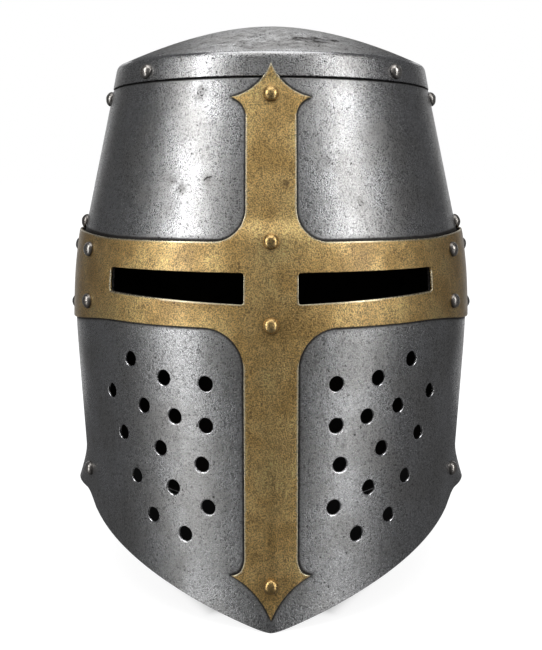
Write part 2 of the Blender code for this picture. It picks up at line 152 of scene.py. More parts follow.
# %% [markdown]
# Bending a plate onto the wall
# A hammered plate is never quite true. Its outline follows the ring, but its face carries
# shallow waves from the stake and a few dents from use, and these are what make the light
# on it wander. They are made here as real shape, a few hundredths of a millimetre deep, and
# always inwards, so that the plates keep the gaps between them and nothing grows.

# %% The turned-out corner, the keel and the laps
FLARE_REACH = 5.05
FLARE_TOP = 75.5
FLARE_HEIGHT = 19.5
FLARE_CURVE = 1.5
FLARE_RISE = (65, 87.6)
FLARE_FALL = (104, 132)
NAPE_FLARE_SHARE = 0.88
UPPER_STEP = (88, 98)
LOWER_STEP = (102, 112)
STEP_RISE = (206, 222)


def turned(azimuth):
    """Degrees away from the face, the same on both sides."""
    return np.abs((azimuth + 180) % 360 - 180)


def flare(azimuth, height):
    """How far the lower corner is turned out."""
    turn = turned(azimuth)
    around = blend(*FLARE_RISE, turn) * (1 - blend(*FLARE_FALL, turn))
    return FLARE_REACH * around * np.clip((FLARE_TOP - height) / FLARE_HEIGHT, 0, 1.2) ** FLARE_CURVE


def keel(azimuth, height):
    """How far the front stands out along its middle line."""
    angle = np.radians(azimuth)
    share = np.clip((KEEL_TOP - height) / KEEL_TOP, 0, None) * (np.cos(angle) > 0)
    return KEEL_DEPTH * share * (1 - np.abs(np.sin(angle))) ** 2


def lap_inset(azimuth, height, layer):
    """How far a back plate lies inside the front one where the two lap."""
    turn = turned(azimuth)
    lower = 1 - blend(*LOWER_STEP, turn)
    if layer == "nape":
        return LAP * lower
    upper = 1 - blend(*UPPER_STEP, turn)
    return LAP * (lower + (upper - lower) * blend(*STEP_RISE, height))


# %% The crown's profile
# height, half width
FLANGE_TOP = (298.1, 92.6)
FOLD_CORNER = (300.75, 92.05)
DOME_FOOT = (301.3, 90.3)
APEX = 327.05
APEX_BACK = 11.2
DOME_POWER = 1.72
DOME_SPAN = (301.1, 90.7)


def crown_profile():
    """Reach from the point outwards and down, with height, half width and shift to the back."""
    share = np.linspace(0, DOME_FOOT[1] / DOME_SPAN[1], 400)
    dome = np.column_stack([APEX - (APEX - DOME_SPAN[0]) * share ** DOME_POWER,
                            DOME_SPAN[1] * share, APEX_BACK * (1 - share)])
    t = np.linspace(0, 1, 60)[1:, None]
    ends = [np.array([*place, 0.0]) for place in (DOME_FOOT, FOLD_CORNER, FLANGE_TOP)]
    fold = (1 - t) ** 2 * ends[0] + 2 * t * (1 - t) * ends[1] + t ** 2 * ends[2]
    drop = np.linspace(FLANGE_TOP[0], CROWN_HEM - 2, 60)[1:]
    flange = np.column_stack([drop, FLANGE_TOP[1] + (FLANGE_TOP[0] - drop) * CROWN_SLOPE,
                              np.zeros(len(drop))])
    rows = np.vstack([dome, fold, flange])
    steps = np.linalg.norm(np.diff(rows[:, :2], axis=0), axis=1)
    return np.column_stack([np.concatenate([[0], np.cumsum(steps)]), rows])


CROWN_PROFILE = crown_profile()


def crown_ring(reach):
    """Height, half width and shift of the crown at a reach from its point."""
    return [np.interp(reach, CROWN_PROFILE[:, 0], CROWN_PROFILE[:, i]) for i in (1, 2, 3)]


def crown_reach(height):
    """The reach at which the flange comes down to a height."""
    return float(np.interp(-height, -CROWN_PROFILE[:, 1], CROWN_PROFILE[:, 0]))


CROWN_REACH = crown_reach(CROWN_HEM)
print("from the crown's point to its hem:", round(CROWN_REACH, 1), "mm")

# %% From the bench to the wall
MM_PER_DEGREE = math.radians(110)
HALVES = {"upper front": upper_half, "upper back": upper_half,
          "cross": cross_half, "face": lower_half, "nape": lower_half}


def polar(flat, layer):
    """Azimuth and height of places on a flat plate; the flat crown is a disc round its point."""
    x, y = flat.T
    if layer == "crown":
        return np.degrees(np.arctan2(x, -y)), np.hypot(x, y)
    return x / MM_PER_DEGREE, y


def on_bench(azimuth, height, layer):
    """The flat place of an azimuth and a height."""
    if layer == "crown":
        reach = crown_reach(height)
        return reach * math.sin(math.radians(azimuth)), -reach * math.cos(math.radians(azimuth))
    return azimuth * MM_PER_DEGREE, height


def bend(flat, layer):
    """A layer's outer face, before the hammer's relief."""
    azimuth, height = polar(flat, layer)
    angle = np.radians(azimuth)
    shift = 0
    if layer == "crown":
        height, half, shift = crown_ring(height)
    else:
        half = HALVES[layer](height)
    lower = layer in ("cross", "face", "nape")
    if lower:
        half = half + flare(azimuth, height) * (NAPE_FLARE_SHARE if layer == "nape" else 1)
    depth = half * np.where(np.cos(angle) > 0, FRONT_RATIO, BACK_RATIO)
    x, y = half * np.sin(angle), shift - depth * np.cos(angle)
    if lower:
        y = y - keel(azimuth, height)
    if layer in ("nape", "upper back"):
        outward = np.stack([np.sin(angle) / half, -np.cos(angle) / depth])
        outward /= np.linalg.norm(outward, axis=0)
        inset = lap_inset(azimuth, height, layer)
        x, y = x - outward[0] * inset, y - outward[1] * inset
    return np.column_stack([x, y, height])


def slopes(shape, flat, layer, step=0.1):
    """How a shape runs on, in space, along the two directions of the flat plate."""
    return [(shape(flat + way, layer) - shape(flat - way, layer)) / (2 * step)
            for way in (np.array([step, 0]), np.array([0, step]))]


def outward(shape, flat, layer, step=0.1):
    """The outward direction on a shape."""
    out = np.cross(*slopes(shape, flat, layer, step))
    return out / np.linalg.norm(out, axis=1)[:, None]


# %% The hammer's waves and the dents
WAVE_SEED = 7
LEAST_RELIEF = 0.06
MEAN_RADIUS = 110

# shortest and longest wave, how many, and their height together
WAVES = (
    (45, 95, 9, 0.05),
    (15, 30, 26, 0.012),
)

# azimuth, height, share of the way out from the axis, radius, depth
DENTS = (
    (-38, 262, 1, 9, 0.03),
    (33, 224, 1, 15, 0.04),
    (16, 236, 1, 6, 0.03),
    (-52, 118, 1, 16, 0.10),
    (47, 84, 1, 14, 0.06),
    (-21, 34, 1, 12, 0.08),
    (128, 120, 1, 20, 0.40),
    (-142, 84, 1, 17, 0.35),
    (163, 240, 1, 15, 0.30),
    (-108, 255, 1, 12, 0.25),
    (35, 318, 0.5, 16, 0.30),
    (20, 310, 0.76, 8, 0.35),
    (-120, 312, 0.7, 18, 0.35),
)


def make_waves():
    """Directions, phases and heights of the waves, the same in every run."""
    draw = np.random.default_rng(WAVE_SEED)
    rows = []
    for short, long, count, total in WAVES:
        for _ in range(count):
            way = draw.normal(size=3)
            way *= 2 * math.pi / draw.uniform(short, long) / np.linalg.norm(way)
            rows.append((*way, draw.uniform(0, 2 * math.pi), total / math.sqrt(count)))
    return np.array(rows)


WAVE_TABLE = make_waves()


def mean_place(azimuth, height, share):
    """A place on a plain round helm, the same for every layer that lies there."""
    angle = np.radians(azimuth)
    return np.stack([MEAN_RADIUS * share * np.sin(angle), -MEAN_RADIUS * share * np.cos(angle),
                     height + 0 * angle], -1)


def relief(flat, layer):
    """Depth of the waves and the dents."""
    azimuth, height = polar(flat, layer)
    share = 1
    if layer == "crown":
        height, half, _ = crown_ring(height)
        share = np.minimum(half / FLANGE_TOP[1], 1)
    places = mean_place(azimuth, height, share)
    depth = np.full(len(flat), LEAST_RELIEF)
    for *way, phase, size in WAVE_TABLE:
        depth += size * (1 + np.sin(places @ np.array(way) + phase)) / 2
    for *spot, radius, deep in DENTS:
        away = np.sum((places - mean_place(*spot)) ** 2, axis=1)
        depth += deep * np.exp(-2 * away / radius ** 2)
    return depth


def hammered(flat, layer):
    """A layer's outer face as it was hammered."""
    return bend(flat, layer) - outward(bend, flat, layer) * relief(flat, layer)[:, None]


sample = np.array([(MM_PER_DEGREE * a, 150.0) for a in (0, 45, 90, 135, 180)])
print("relief at 150 mm:", relief(sample, "face").round(3), "mm")

# %% [markdown]
# Cutting a plate
# On paper a plate is an outline with holes. A Delaunay triangulation fills the space
# between them with even triangles, which a grid could not do beside curves and round holes.
# The sheet then gets its thickness and a rim whose edges are rounded by a file: without
# that small radius no edge would catch the light, and real worn edges always do.

# %% Lines, curves and whole outlines
STEP = 1.2


def flat_length(a, b):
    """Length in millimetres between two places, given by azimuth and height."""
    return math.hypot((a[0] - b[0]) * MM_PER_DEGREE, a[1] - b[1])


def dense(points):
    """The same open line with a point at least every step."""
    line = [points[0]]
    for a, b in zip(points, points[1:]):
        count = max(1, math.ceil(flat_length(a, b) / STEP))
        line += [tuple(p + (q - p) * i / count for p, q in zip(a, b)) for i in range(1, count + 1)]
    return line


def along(start, end, height_at):
    """A line from one azimuth to another at the height that a function gives."""
    count = math.ceil(abs(end - start) * MM_PER_DEGREE / STEP)
    azimuths = np.linspace(start, end, count + 1)
    return [(float(a), float(height_at(a))) for a in azimuths]


def bezier(start, control, end, count):
    """Points of a quadratic curve, without its first one."""
    return [tuple((1 - t) ** 2 * a + 2 * t * (1 - t) * b + t * t * c
                  for a, b, c in zip(start, control, end))
            for t in np.linspace(0, 1, count + 1)[1:]]


def whole(half, centre):
    """Both halves of an outline whose first and last points lie on the middle line."""
    return half + [(2 * centre - a, h) for a, h in half[-2:0:-1]]


def circle(azimuth, height, radius, layer, sides):
    """A round hole on the flat plate, measured on the wall itself."""
    middle = np.array([on_bench(azimuth, height, layer)])
    wide, tall = [np.linalg.norm(way) for way in slopes(bend, middle, layer)]
    turns = np.linspace(0, 2 * math.pi, sides, endpoint=False)
    return middle + radius * np.column_stack([np.cos(turns) / wide, np.sin(turns) / tall])


def on_plate(loop, layer):
    """An outline by azimuth and height, as flat places."""
    return np.array([on_bench(a, h, layer) for a, h in loop])


# %% Triangles between an outline and its holes
GRID = 2.2
GRID_CLEAR = 0.8
SEAM_ROWS = (0.3, 0.9, 1.6)
STEEL_RIM = 0.42
BRASS_RIM = 0.36
SHARPEST = 0.2


def side_directions(ring, up):
    """For each corner of a closed ring, the way out of the metal and how sharp the corner is."""
    sides = []
    for way in (ring - np.roll(ring, 1, 0), np.roll(ring, -1, 0) - ring):
        side = np.cross(way, up)
        sides.append(side / np.linalg.norm(side, axis=1)[:, None])
    out = sides[0] + sides[1]
    out /= np.linalg.norm(out, axis=1)[:, None]
    return out, np.clip(np.sum(out * sides[0], axis=1), SHARPEST, 1)


def clearance(points, loop):
    """Distance from each point to the nearest stretch of a closed loop."""
    along = np.roll(loop, -1, 0) - loop
    away = points[:, None] - loop[None]
    share = np.clip(np.sum(away * along, axis=2) / np.sum(along ** 2, axis=1), 0, 1)
    return np.linalg.norm(away - share[..., None] * along, axis=2).min(1)


def rim_radius(layer):
    """How far the file has rounded a layer's edges."""
    return BRASS_RIM if layer == "cross" else STEEL_RIM


def drawn_in(loop, layer, hole):
    """The loop moved into the metal by the rim's radius, so that the rounded rim ends on it."""
    radius = rim_radius(layer)
    after = np.roll(loop, -1, 0)
    area = np.sum(loop[:, 0] * after[:, 1] - after[:, 0] * loop[:, 1])
    if (area > 0) == hole:
        loop = loop[::-1]
    wide, tall = [np.linalg.norm(way, axis=1) for way in slopes(bend, loop, layer)]
    scale = np.column_stack([wide, tall, np.ones(len(loop))])
    level = np.column_stack([loop, np.zeros(len(loop))]) * scale.mean(0)
    out, sharp = side_directions(level, np.array([0.0, 0.0, 1.0]))
    moved = loop - (out / scale)[:, :2] * (radius / sharp)[:, None]
    room = clearance(moved * scale.mean(0)[:2], level[:, :2])
    return moved[room > 0.85 * radius]


def inside(points, loops):
    """Which flat points lie in the metal."""
    crossings = np.zeros(len(points), int)
    x, y = points[:, 0], points[:, 1]
    for loop in loops:
        for (x0, y0), (x1, y1) in zip(loop, np.roll(loop, -1, 0)):
            if y0 == y1:
                continue
            level = (y0 > y) != (y1 > y)
            crossings += level & (x < x0 + (x1 - x0) * (y - y0) / (y1 - y0))
    return crossings % 2 == 1


def tree_of(points):
    """A tree that finds the nearest of some flat points."""
    tree = kdtree.KDTree(len(points))
    for i, (x, y) in enumerate(points):
        tree.insert((x, y, 0), i)
    tree.balance()
    return tree


def triangulate(loops, seams):
    """Even triangles over the metal between an outline and its holes, finer beside the seams."""
    rim = np.vstack(loops)
    low, high = rim.min(0), rim.max(0)
    rise = GRID * math.sqrt(3) / 2
    rows = range(math.floor(low[1] / rise), math.ceil(high[1] / rise))
    columns = range(math.floor(low[0] / GRID), math.ceil(high[0] / GRID) + 1)
    grid = [((i + 0.5 * (j % 2)) * GRID, j * rise) for j in rows for i in columns]
    grid += [(0.0, j * rise) for j in rows if j % 2]
    grid = np.array([(x, y) for x, y in grid if x == 0 or abs(x) > 0.6 * GRID])
    grid = grid[inside(grid, loops)]
    fine = beside(seams)
    if len(fine):
        fine = fine[inside(fine, loops)]
    tree = tree_of(rim)
    fine = [(x, y) for x, y in fine if tree.find((x, y, 0))[2] > GRID_CLEAR / 2]
    tree = tree_of(np.vstack([rim, fine]) if fine else rim)
    grid = [(x, y) for x, y in grid if tree.find((x, y, 0))[2] > GRID_CLEAR]
    points, faces = list(map(tuple, rim)) + fine + grid, []
    start = 0
    for loop in loops:
        faces.append(list(range(start, start + len(loop))))
        start += len(loop)
    holes_left_open = 2
    made = delaunay_2d_cdt([Vector(p) for p in points], [], faces, holes_left_open, 1e-6)
    return np.array([tuple(p) for p in made[0]]), np.array([tuple(face) for face in made[2]])


def beside(seams):
    """Points close along both sides of some lines."""
    rows = []
    for line in seams:
        way = np.gradient(line, axis=0)
        way /= np.linalg.norm(way, axis=1)[:, None]
        side = way[:, ::-1] * (1, -1)
        rows += [line + side * away for reach in SEAM_ROWS for away in (reach, -reach)]
    return np.vstack(rows) if rows else np.zeros((0, 2))


def rim_chains(triangles):
    """The edges with metal on one side only, as closed chains of corners."""
    edges = {(int(a), int(b)) for triangle in triangles
             for a, b in zip(triangle, np.roll(triangle, -1))}
    after = {a: b for a, b in edges if (b, a) not in edges}
    chains = []
    while after:
        start = min(after)
        chain, corner = [start], after.pop(start)
        while corner != start:
            chain.append(corner)
            corner = after.pop(corner)
        chains.append(chain)
    return chains


# %% From a flat sheet to a plate with a rounded rim
RIM_STEPS = 3
CORNER_WEAR_AND_SHEEN = 0.9

# An edge is painted bright where it faces up or sideways, partly as wear and partly as a painted
# highlight of the light from above, and stays plain where it faces down: the brightness eases in
# between these two upward shares of its direction
STEEL_EDGE_WEAR_AND_SHEEN = (-0.1, 0.7)
BRASS_EDGE_WEAR_AND_SHEEN = (-0.5, 0.0)


def rim_profile(sheet, radius):
    """Steps out and down from the outer face's edge round to the inner face, with directions."""
    turns = [math.pi / 2 * i / RIM_STEPS for i in range(RIM_STEPS + 1)]
    rows = [(radius * math.sin(t), radius * (1 - math.cos(t)), math.sin(t), math.cos(t))
            for t in turns[1:]]
    rows += [(radius * math.cos(t), sheet - radius * (1 - math.sin(t)), math.cos(t), -math.sin(t))
             for t in turns[:-1]]
    return rows


def formed(places, up, triangles, sheet, radius, rubbed):
    """Vertices, normals, which corner each comes from, edge wear with its painted highlight; outer and inner faces.
    """
    count = len(places)
    vertices = [places, places - up * sheet]
    normals = [up, -up]
    sources = [np.arange(count), np.arange(count)]
    wear_and_sheen = [np.zeros(count), np.zeros(count)]
    faces = [tuple(map(int, t)) for t in triangles]
    inner = [(a + count, c + count, b + count) for a, b, c in faces]
    base = 2 * count
    for chain in rim_chains(triangles):
        size = len(chain)
        here, lift = places[chain], up[chain]
        out, sharp = side_directions(here, lift)
        out -= lift * np.sum(out * lift, axis=1)[:, None]
        # Edges that face up are painted bright, as wear and as a painted highlight of the light from above
        wear_and_sheen_share = blend(*rubbed, out[:, 2])
        wear_and_sheen[0][chain] = CORNER_WEAR_AND_SHEEN * wear_and_sheen_share
        previous = chain
        for across, down, lean_out, lean_up in rim_profile(sheet, radius):
            vertices.append(here + out * (across / sharp)[:, None] - lift * down)
            normals.append(out * lean_out + lift * lean_up)
            sources.append(np.array(chain))
            wear_and_sheen.append(wear_and_sheen_share * (down <= radius))
            ring = list(range(base, base + size))
            base += size
            faces += [(previous[i], ring[i], ring[(i + 1) % size], previous[(i + 1) % size])
                      for i in range(size)]
            previous = ring
        last = [i + count for i in chain]
        faces += [(previous[i], last[i], last[(i + 1) % size], previous[(i + 1) % size])
                  for i in range(size)]
    where = np.concatenate(sources)
    return np.vstack(vertices), np.vstack(normals), where, np.concatenate(wear_and_sheen), faces, inner


def add_mesh(name, vertices, normals, faces, inner, marks, finishes):
    """Make a piece, with its own smooth normals, its marks and its finishes out and inside."""
    mesh = bpy.data.meshes.new(name)
    places = vertices * MM + np.array([0, SHIFT, GROUND])
    mesh.from_pydata(places.tolist(), [], faces + inner)
    for finish in finishes:
        mesh.materials.append(finish)
    hidden = [0] * len(faces) + [1] * len(inner)
    mesh.polygons.foreach_set("material_index", hidden)
    mesh.polygons.foreach_set("use_smooth", [True] * len(hidden))
    for mark, values in marks.items():
        layer = mesh.attributes.new(mark, "FLOAT", "POINT")
        layer.data.foreach_set("value", np.asarray(values, np.float32))
    unit = normals / np.linalg.norm(normals, axis=1)[:, None]
    mesh.normals_split_custom_set_from_vertices(unit.tolist())
    piece = bpy.data.objects.new(name, mesh)
    bpy.context.scene.collection.objects.link(piece)
    return piece


print("rim of a steel plate:", len(rim_profile(STEEL_SHEET, STEEL_RIM)), "steps")

# %% [markdown]
# The outlines
# Six plates make this helm: a face plate and a nape plate below, two upper plates under a
# crown, and over the front a cross cut from sheet brass. Each outline is drawn for its left
# half and mirrored, as a smith marks out a plate from a folded pattern.

# %% Lower edge, face plate and nape plate
CHIN_SLOPE = 0.66
CHIN_ROUND = 2.4
ARCH_HEIGHT = 50.6
ARCH_RISE = (65.8, 73.9)
ARCH_FALL = (104, 148)
FACE_END_TOP = 98
FACE_END_FOOT = 84
NAPE_START_TOP = 85
NAPE_START_WAIST = 80
NAPE_START_FOOT = 60
SEAM_WAIST = 180
SEAM_SHOULDER = 188
NAPE_EDGE_INSET = 2
NAPE_EDGE_EASE = 5


def lower_edge(azimuth):
    """A shallow V at the chin, an arch over each shoulder and a flat nape."""
    turn = turned(azimuth)
    chin = CHIN_SLOPE * (math.hypot(turn, CHIN_ROUND) - CHIN_ROUND)
    side = chin + (ARCH_HEIGHT - chin) * blend(*ARCH_RISE, turn)
    return side * (1 - blend(*ARCH_FALL, turn))


def nape_edge(azimuth):
    """The nape plate stays just inside the face plate's edge where the two lap."""
    lap = 1 - blend(FACE_END_FOOT, FACE_END_FOOT + NAPE_EDGE_EASE, azimuth)
    return lower_edge(azimuth) + NAPE_EDGE_INSET * lap


def face_outline():
    foot = along(0, FACE_END_FOOT, lower_edge)
    back = dense([foot[-1], (FACE_END_TOP, SEAM_WAIST), (FACE_END_TOP, LOWER_TOP), (0, LOWER_TOP)])
    return whole(foot + back[1:], 0)


def nape_outline():
    foot = along(NAPE_START_FOOT, 180, nape_edge)
    front = dense([(180, LOWER_TOP), (NAPE_START_TOP, LOWER_TOP), (NAPE_START_TOP, SEAM_SHOULDER),
                   (NAPE_START_WAIST, SEAM_WAIST), (NAPE_START_FOOT, FLARE_TOP), foot[0]])
    return whole(front + foot[1:], 180)


print("face plate:", len(face_outline()), "points, nape plate:", len(nape_outline()))

# %% Upper plates
UPPER_FRONT_END = 84
UPPER_BACK_START = 75
UPPER_FOOT = 191
UPPER_TOP = 296.5


def upper_outline(middle, end):
    """A plain upper plate, from its foot under the lower plates to its top under the crown."""
    half = dense([(middle, UPPER_FOOT), (end, UPPER_FOOT), (end, UPPER_TOP), (middle, UPPER_TOP)])
    return whole(half, middle)


print("upper plates:", len(upper_outline(0, UPPER_FRONT_END)),
      len(upper_outline(180, UPPER_BACK_START)), "points")

# %% Sights and breaths
SIGHT_INNER = 6.7
SIGHT_OUTER = 46.7
SIGHT_TOP = 188.8
SIGHT_INNER_FOOT = 172.8
SIGHT_OUTER_FOOT = 175.9
SIGHT_CORNER = 1.6
BREATH_RADIUS = 4.1
BREATH_SIDES = 32

# azimuth, height
BREATHS = (
    (39.3, 140.5), (28.4, 132.6), (16.6, 131.2),
    (48.0, 120.5), (35.3, 116.0), (25.5, 112.5), (16.8, 109.1),
    (43.8, 98.3), (30.4, 94.0), (18.1, 88.0),
    (39.4, 75.5), (26.8, 73.4), (16.7, 65.2),
    (33.9, 55.5), (23.6, 48.6),
)


def toward(start, end, reach):
    """The point that lies a reach in millimetres from the start of a line."""
    share = reach / flat_length(start, end)
    return tuple(p + (q - p) * share for p, q in zip(start, end))


def sight(side):
    """A sight, taller beside the nose, with corners that a round file left."""
    corners = [(side * a, h) for a, h in (
        (SIGHT_INNER, SIGHT_INNER_FOOT), (SIGHT_OUTER, SIGHT_OUTER_FOOT),
        (SIGHT_OUTER, SIGHT_TOP), (SIGHT_INNER, SIGHT_TOP))]
    loop = []
    for i, corner in enumerate(corners):
        before = toward(corner, corners[i - 1], SIGHT_CORNER)
        after = toward(corner, corners[(i + 1) % 4], SIGHT_CORNER)
        onward = toward(corners[(i + 1) % 4], corner, SIGHT_CORNER)
        loop += bezier(before, corner, after, 5) + dense([after, onward])[1:-1]
    return loop


sights = [sight(1), sight(-1)]
breaths = [circle(side * a, h, BREATH_RADIUS, "face", BREATH_SIDES)
           for a, h in BREATHS for side in (1, -1)]
print("sights:", len(sights), "breaths:", len(breaths))

# %% [markdown]
# The brass cross
# The cross is one piece of sheet brass: a tapered bar with pointed finials, and two arms
# that wrap the sides and widen towards their ends. Where bar and arms meet, the inner
# corners are large round fillets, because a sharp corner in sheet starts a crack. The bar's
# edges are drawn in millimetres across, and turned to azimuth by the wall's own radius.

# %% Outline of the cross
BAR_TOP_HALF = 13.0
BAR_FOOT_HALF = 14.0
BAND_TOP = 204.2
BAND_FOOT = 160.6
BAND_TOP_SPREAD = 2.8
BAND_FOOT_SPREAD = 5.6
BAND_SPREAD = (44, 80)
BAND_END = 96
UPPER_FILLET = 17
LOWER_FILLET = 21

# half width, height: bar edge, its curve's control, barb, the next control, tip
HEAD_FINIAL = ((13.0, 268.5), (14.2, 275.3), (21.0, 277.3), (6.6, 280.0), (0.0, 294.6))
FOOT_FINIAL = ((14.0, 39.5), (14.9, 30.0), (21.5, 29.8), (7.0, 23.8), (0.0, 7.4))


def across(x, height):
    """The azimuth of a place on the bar, from its distance across in millimetres."""
    return math.degrees(x / float(cross_half(height)))


def finial(rows):
    """Half a finial, from the bar's edge out to the barb and in to the tip."""
    edge, first, barb, second, tip = rows
    flat = [edge] + bezier(edge, first, barb, 12) + bezier(barb, second, tip, 20)
    return [(across(x, h), h) for x, h in flat]


def fillet(half, edge, radius, side):
    """The round inner corner between the bar and an arm; side is 1 above and -1 below."""
    points = []
    for turn in np.linspace(0, math.pi / 2, 26):
        height = edge + side * radius * (1 - math.sin(turn))
        points.append((across(half + radius * (1 - math.cos(turn)), height), height))
    return points


def band_top(azimuth):
    return BAND_TOP + BAND_TOP_SPREAD * blend(*BAND_SPREAD, azimuth)


def band_foot(azimuth):
    return BAND_FOOT - BAND_FOOT_SPREAD * blend(*BAND_SPREAD, azimuth)


def cross_outline():
    low = fillet(BAR_FOOT_HALF, BAND_FOOT, LOWER_FILLET, -1)
    high = fillet(BAR_TOP_HALF, BAND_TOP, UPPER_FILLET, 1)
    foot, head = finial(FOOT_FINIAL), finial(HEAD_FINIAL)
    half = foot[::-1] + dense([foot[0], low[0]])[1:] + low[1:]
    half += along(low[-1][0], BAND_END, band_foot)[1:]
    half += dense([(BAND_END, float(band_foot(BAND_END))), (BAND_END, float(band_top(BAND_END)))])[1:]
    half += along(BAND_END, high[-1][0], band_top)[1:] + high[-2::-1]
    half += dense([high[0], head[0]])[1:] + head[1:]
    return whole(half, 0)


print("cross:", len(cross_outline()), "points")

# %% [markdown]
# Finishes
# Everything here is bare metal, so the colour comes from what it reflects, and the finish
# mostly tints it and scatters it, but a few marks paint light and shade in. Old mild steel that
# was polished by hand is a soft grey with shallow pits where rust was rubbed away. Antiqued sheet
# brass is a dull gold that turns brown in its pores and stays bright where it is rubbed, along
# edges and on rivet heads; its edges that face up or sideways also carry a painted highlight.
# Patterns are laid in millimetres through the space the helm stands in, so no seam shows.

# %% Colours and nodes
def colour(code):
    """A colour from its sRGB hex value, as linear light."""
    parts = [int(code[i:i + 2], 16) / 255 for i in (1, 3, 5)]
    linear = [p / 12.92 if p <= 0.04045 else ((p + 0.055) / 1.055) ** 2.4 for p in parts]
    return (*linear, 1)


def node(tree, kind, inputs=None, **settings):
    """Add a node with its settings, and link or set its inputs; a node stands for its first output."""
    made = tree.nodes.new("ShaderNode" + kind)
    for setting, value in settings.items():
        setattr(made, setting, value)
    for socket, value in (inputs or {}).items():
        if isinstance(value, bpy.types.Node):
            value = next(output for output in value.outputs if output.enabled)
        if isinstance(value, bpy.types.NodeSocket):
            tree.links.new(value, made.inputs[socket])
        else:
            made.inputs[socket].default_value = value
    return made


print("steel grey as linear light:", [round(c, 3) for c in colour("#b9b9ba")[:3]])

# %% [markdown]
# Patterns in millimetres
# Every finish here is built from a few patterns of noise, each of a real size. Blender's
# noise counts in metres, so the place on the helm is first multiplied up to millimetres.
# Each pattern is then eased from 0 to 1 between two of its levels: close levels give spots
# with clear borders, and wide ones give clouds.

# %% A bare tree, and one pattern
def bare_tree(name):
    """A new material with an empty tree."""
    material = bpy.data.materials.new(name)
    material.use_nodes = True
    material.node_tree.nodes.clear()
    return material, material.node_tree


def pattern(tree, size, detail, levels, seed, stretch=1.0, more=0.0):
    """Noise of a size in millimetres; more of it where a link says so."""
    place = node(tree, "TexCoord").outputs["Object"]
    place = node(tree, "VectorMath", {0: place, "Scale": 1 / MM}, operation="SCALE")
    place = node(tree, "VectorMath", {0: place, 1: (1, 1, stretch), 2: (seed, seed, seed)},
                 operation="MULTIPLY_ADD")
    noise = node(tree, "TexNoise", {"Vector": place, "Scale": 1 / size, "Detail": detail})
    noise = node(tree, "Math", {0: noise, 1: more}, operation="ADD")
    return node(tree, "MapRange", {0: noise, 1: levels[0], 2: levels[1]}, interpolation_type="SMOOTHSTEP")


def finish(tree, material, body, rough, height, depth, settings):
    """The shader at the end of a tree, with a relief of a depth in millimetres."""
    bump = node(tree, "Bump", {"Strength": 1.0, "Distance": depth * MM, "Height": height})
    links = {"Base Color": body, "Roughness": rough, "Normal": bump}
    shader = node(tree, "BsdfPrincipled", {**links, **settings})
    node(tree, "OutputMaterial", {"Surface": shader})
    print(material.name, "has", len(tree.nodes), "nodes")
    return material


# %% [markdown]
# Polished steel, lightly pitted
# The plates are mild steel sheet, about 1.5 mm thick, hammered to shape and polished with
# grit. The eye reads a neutral grey full of fine light and dark specks, a faint upright
# grain from the polishing, and small dark pits that gather where rust was rubbed away. The
# speckle on real steel is about a tenth of a millimetre: it is drawn here nearly a
# millimetre wide, the smallest that the picture can show.

# %% Steel
STEEL_LIGHT = "#c6c6c7"
STEEL_DULL = "#b4b3b2"
STEEL_PIT = "#35322f"
STEEL_STAIN = "#6b655e"
STEEL_WEAR_AND_SHEEN = "#e6e6e8"
GRIME_AND_SHADE = "#1f1b18"

# sizes in millimetres
CLOUD_SIZE = 26
STREAK_SIZE = 4.0
STREAK_STRETCH = 0.07
SPECKLE_SIZE = 0.65
SPECK_SIZE = 1.3
PIT_SIZE = 1.2
PIT_CLUSTER = 13
STAIN_SIZE = 5
STEEL_BUMP = 0.05


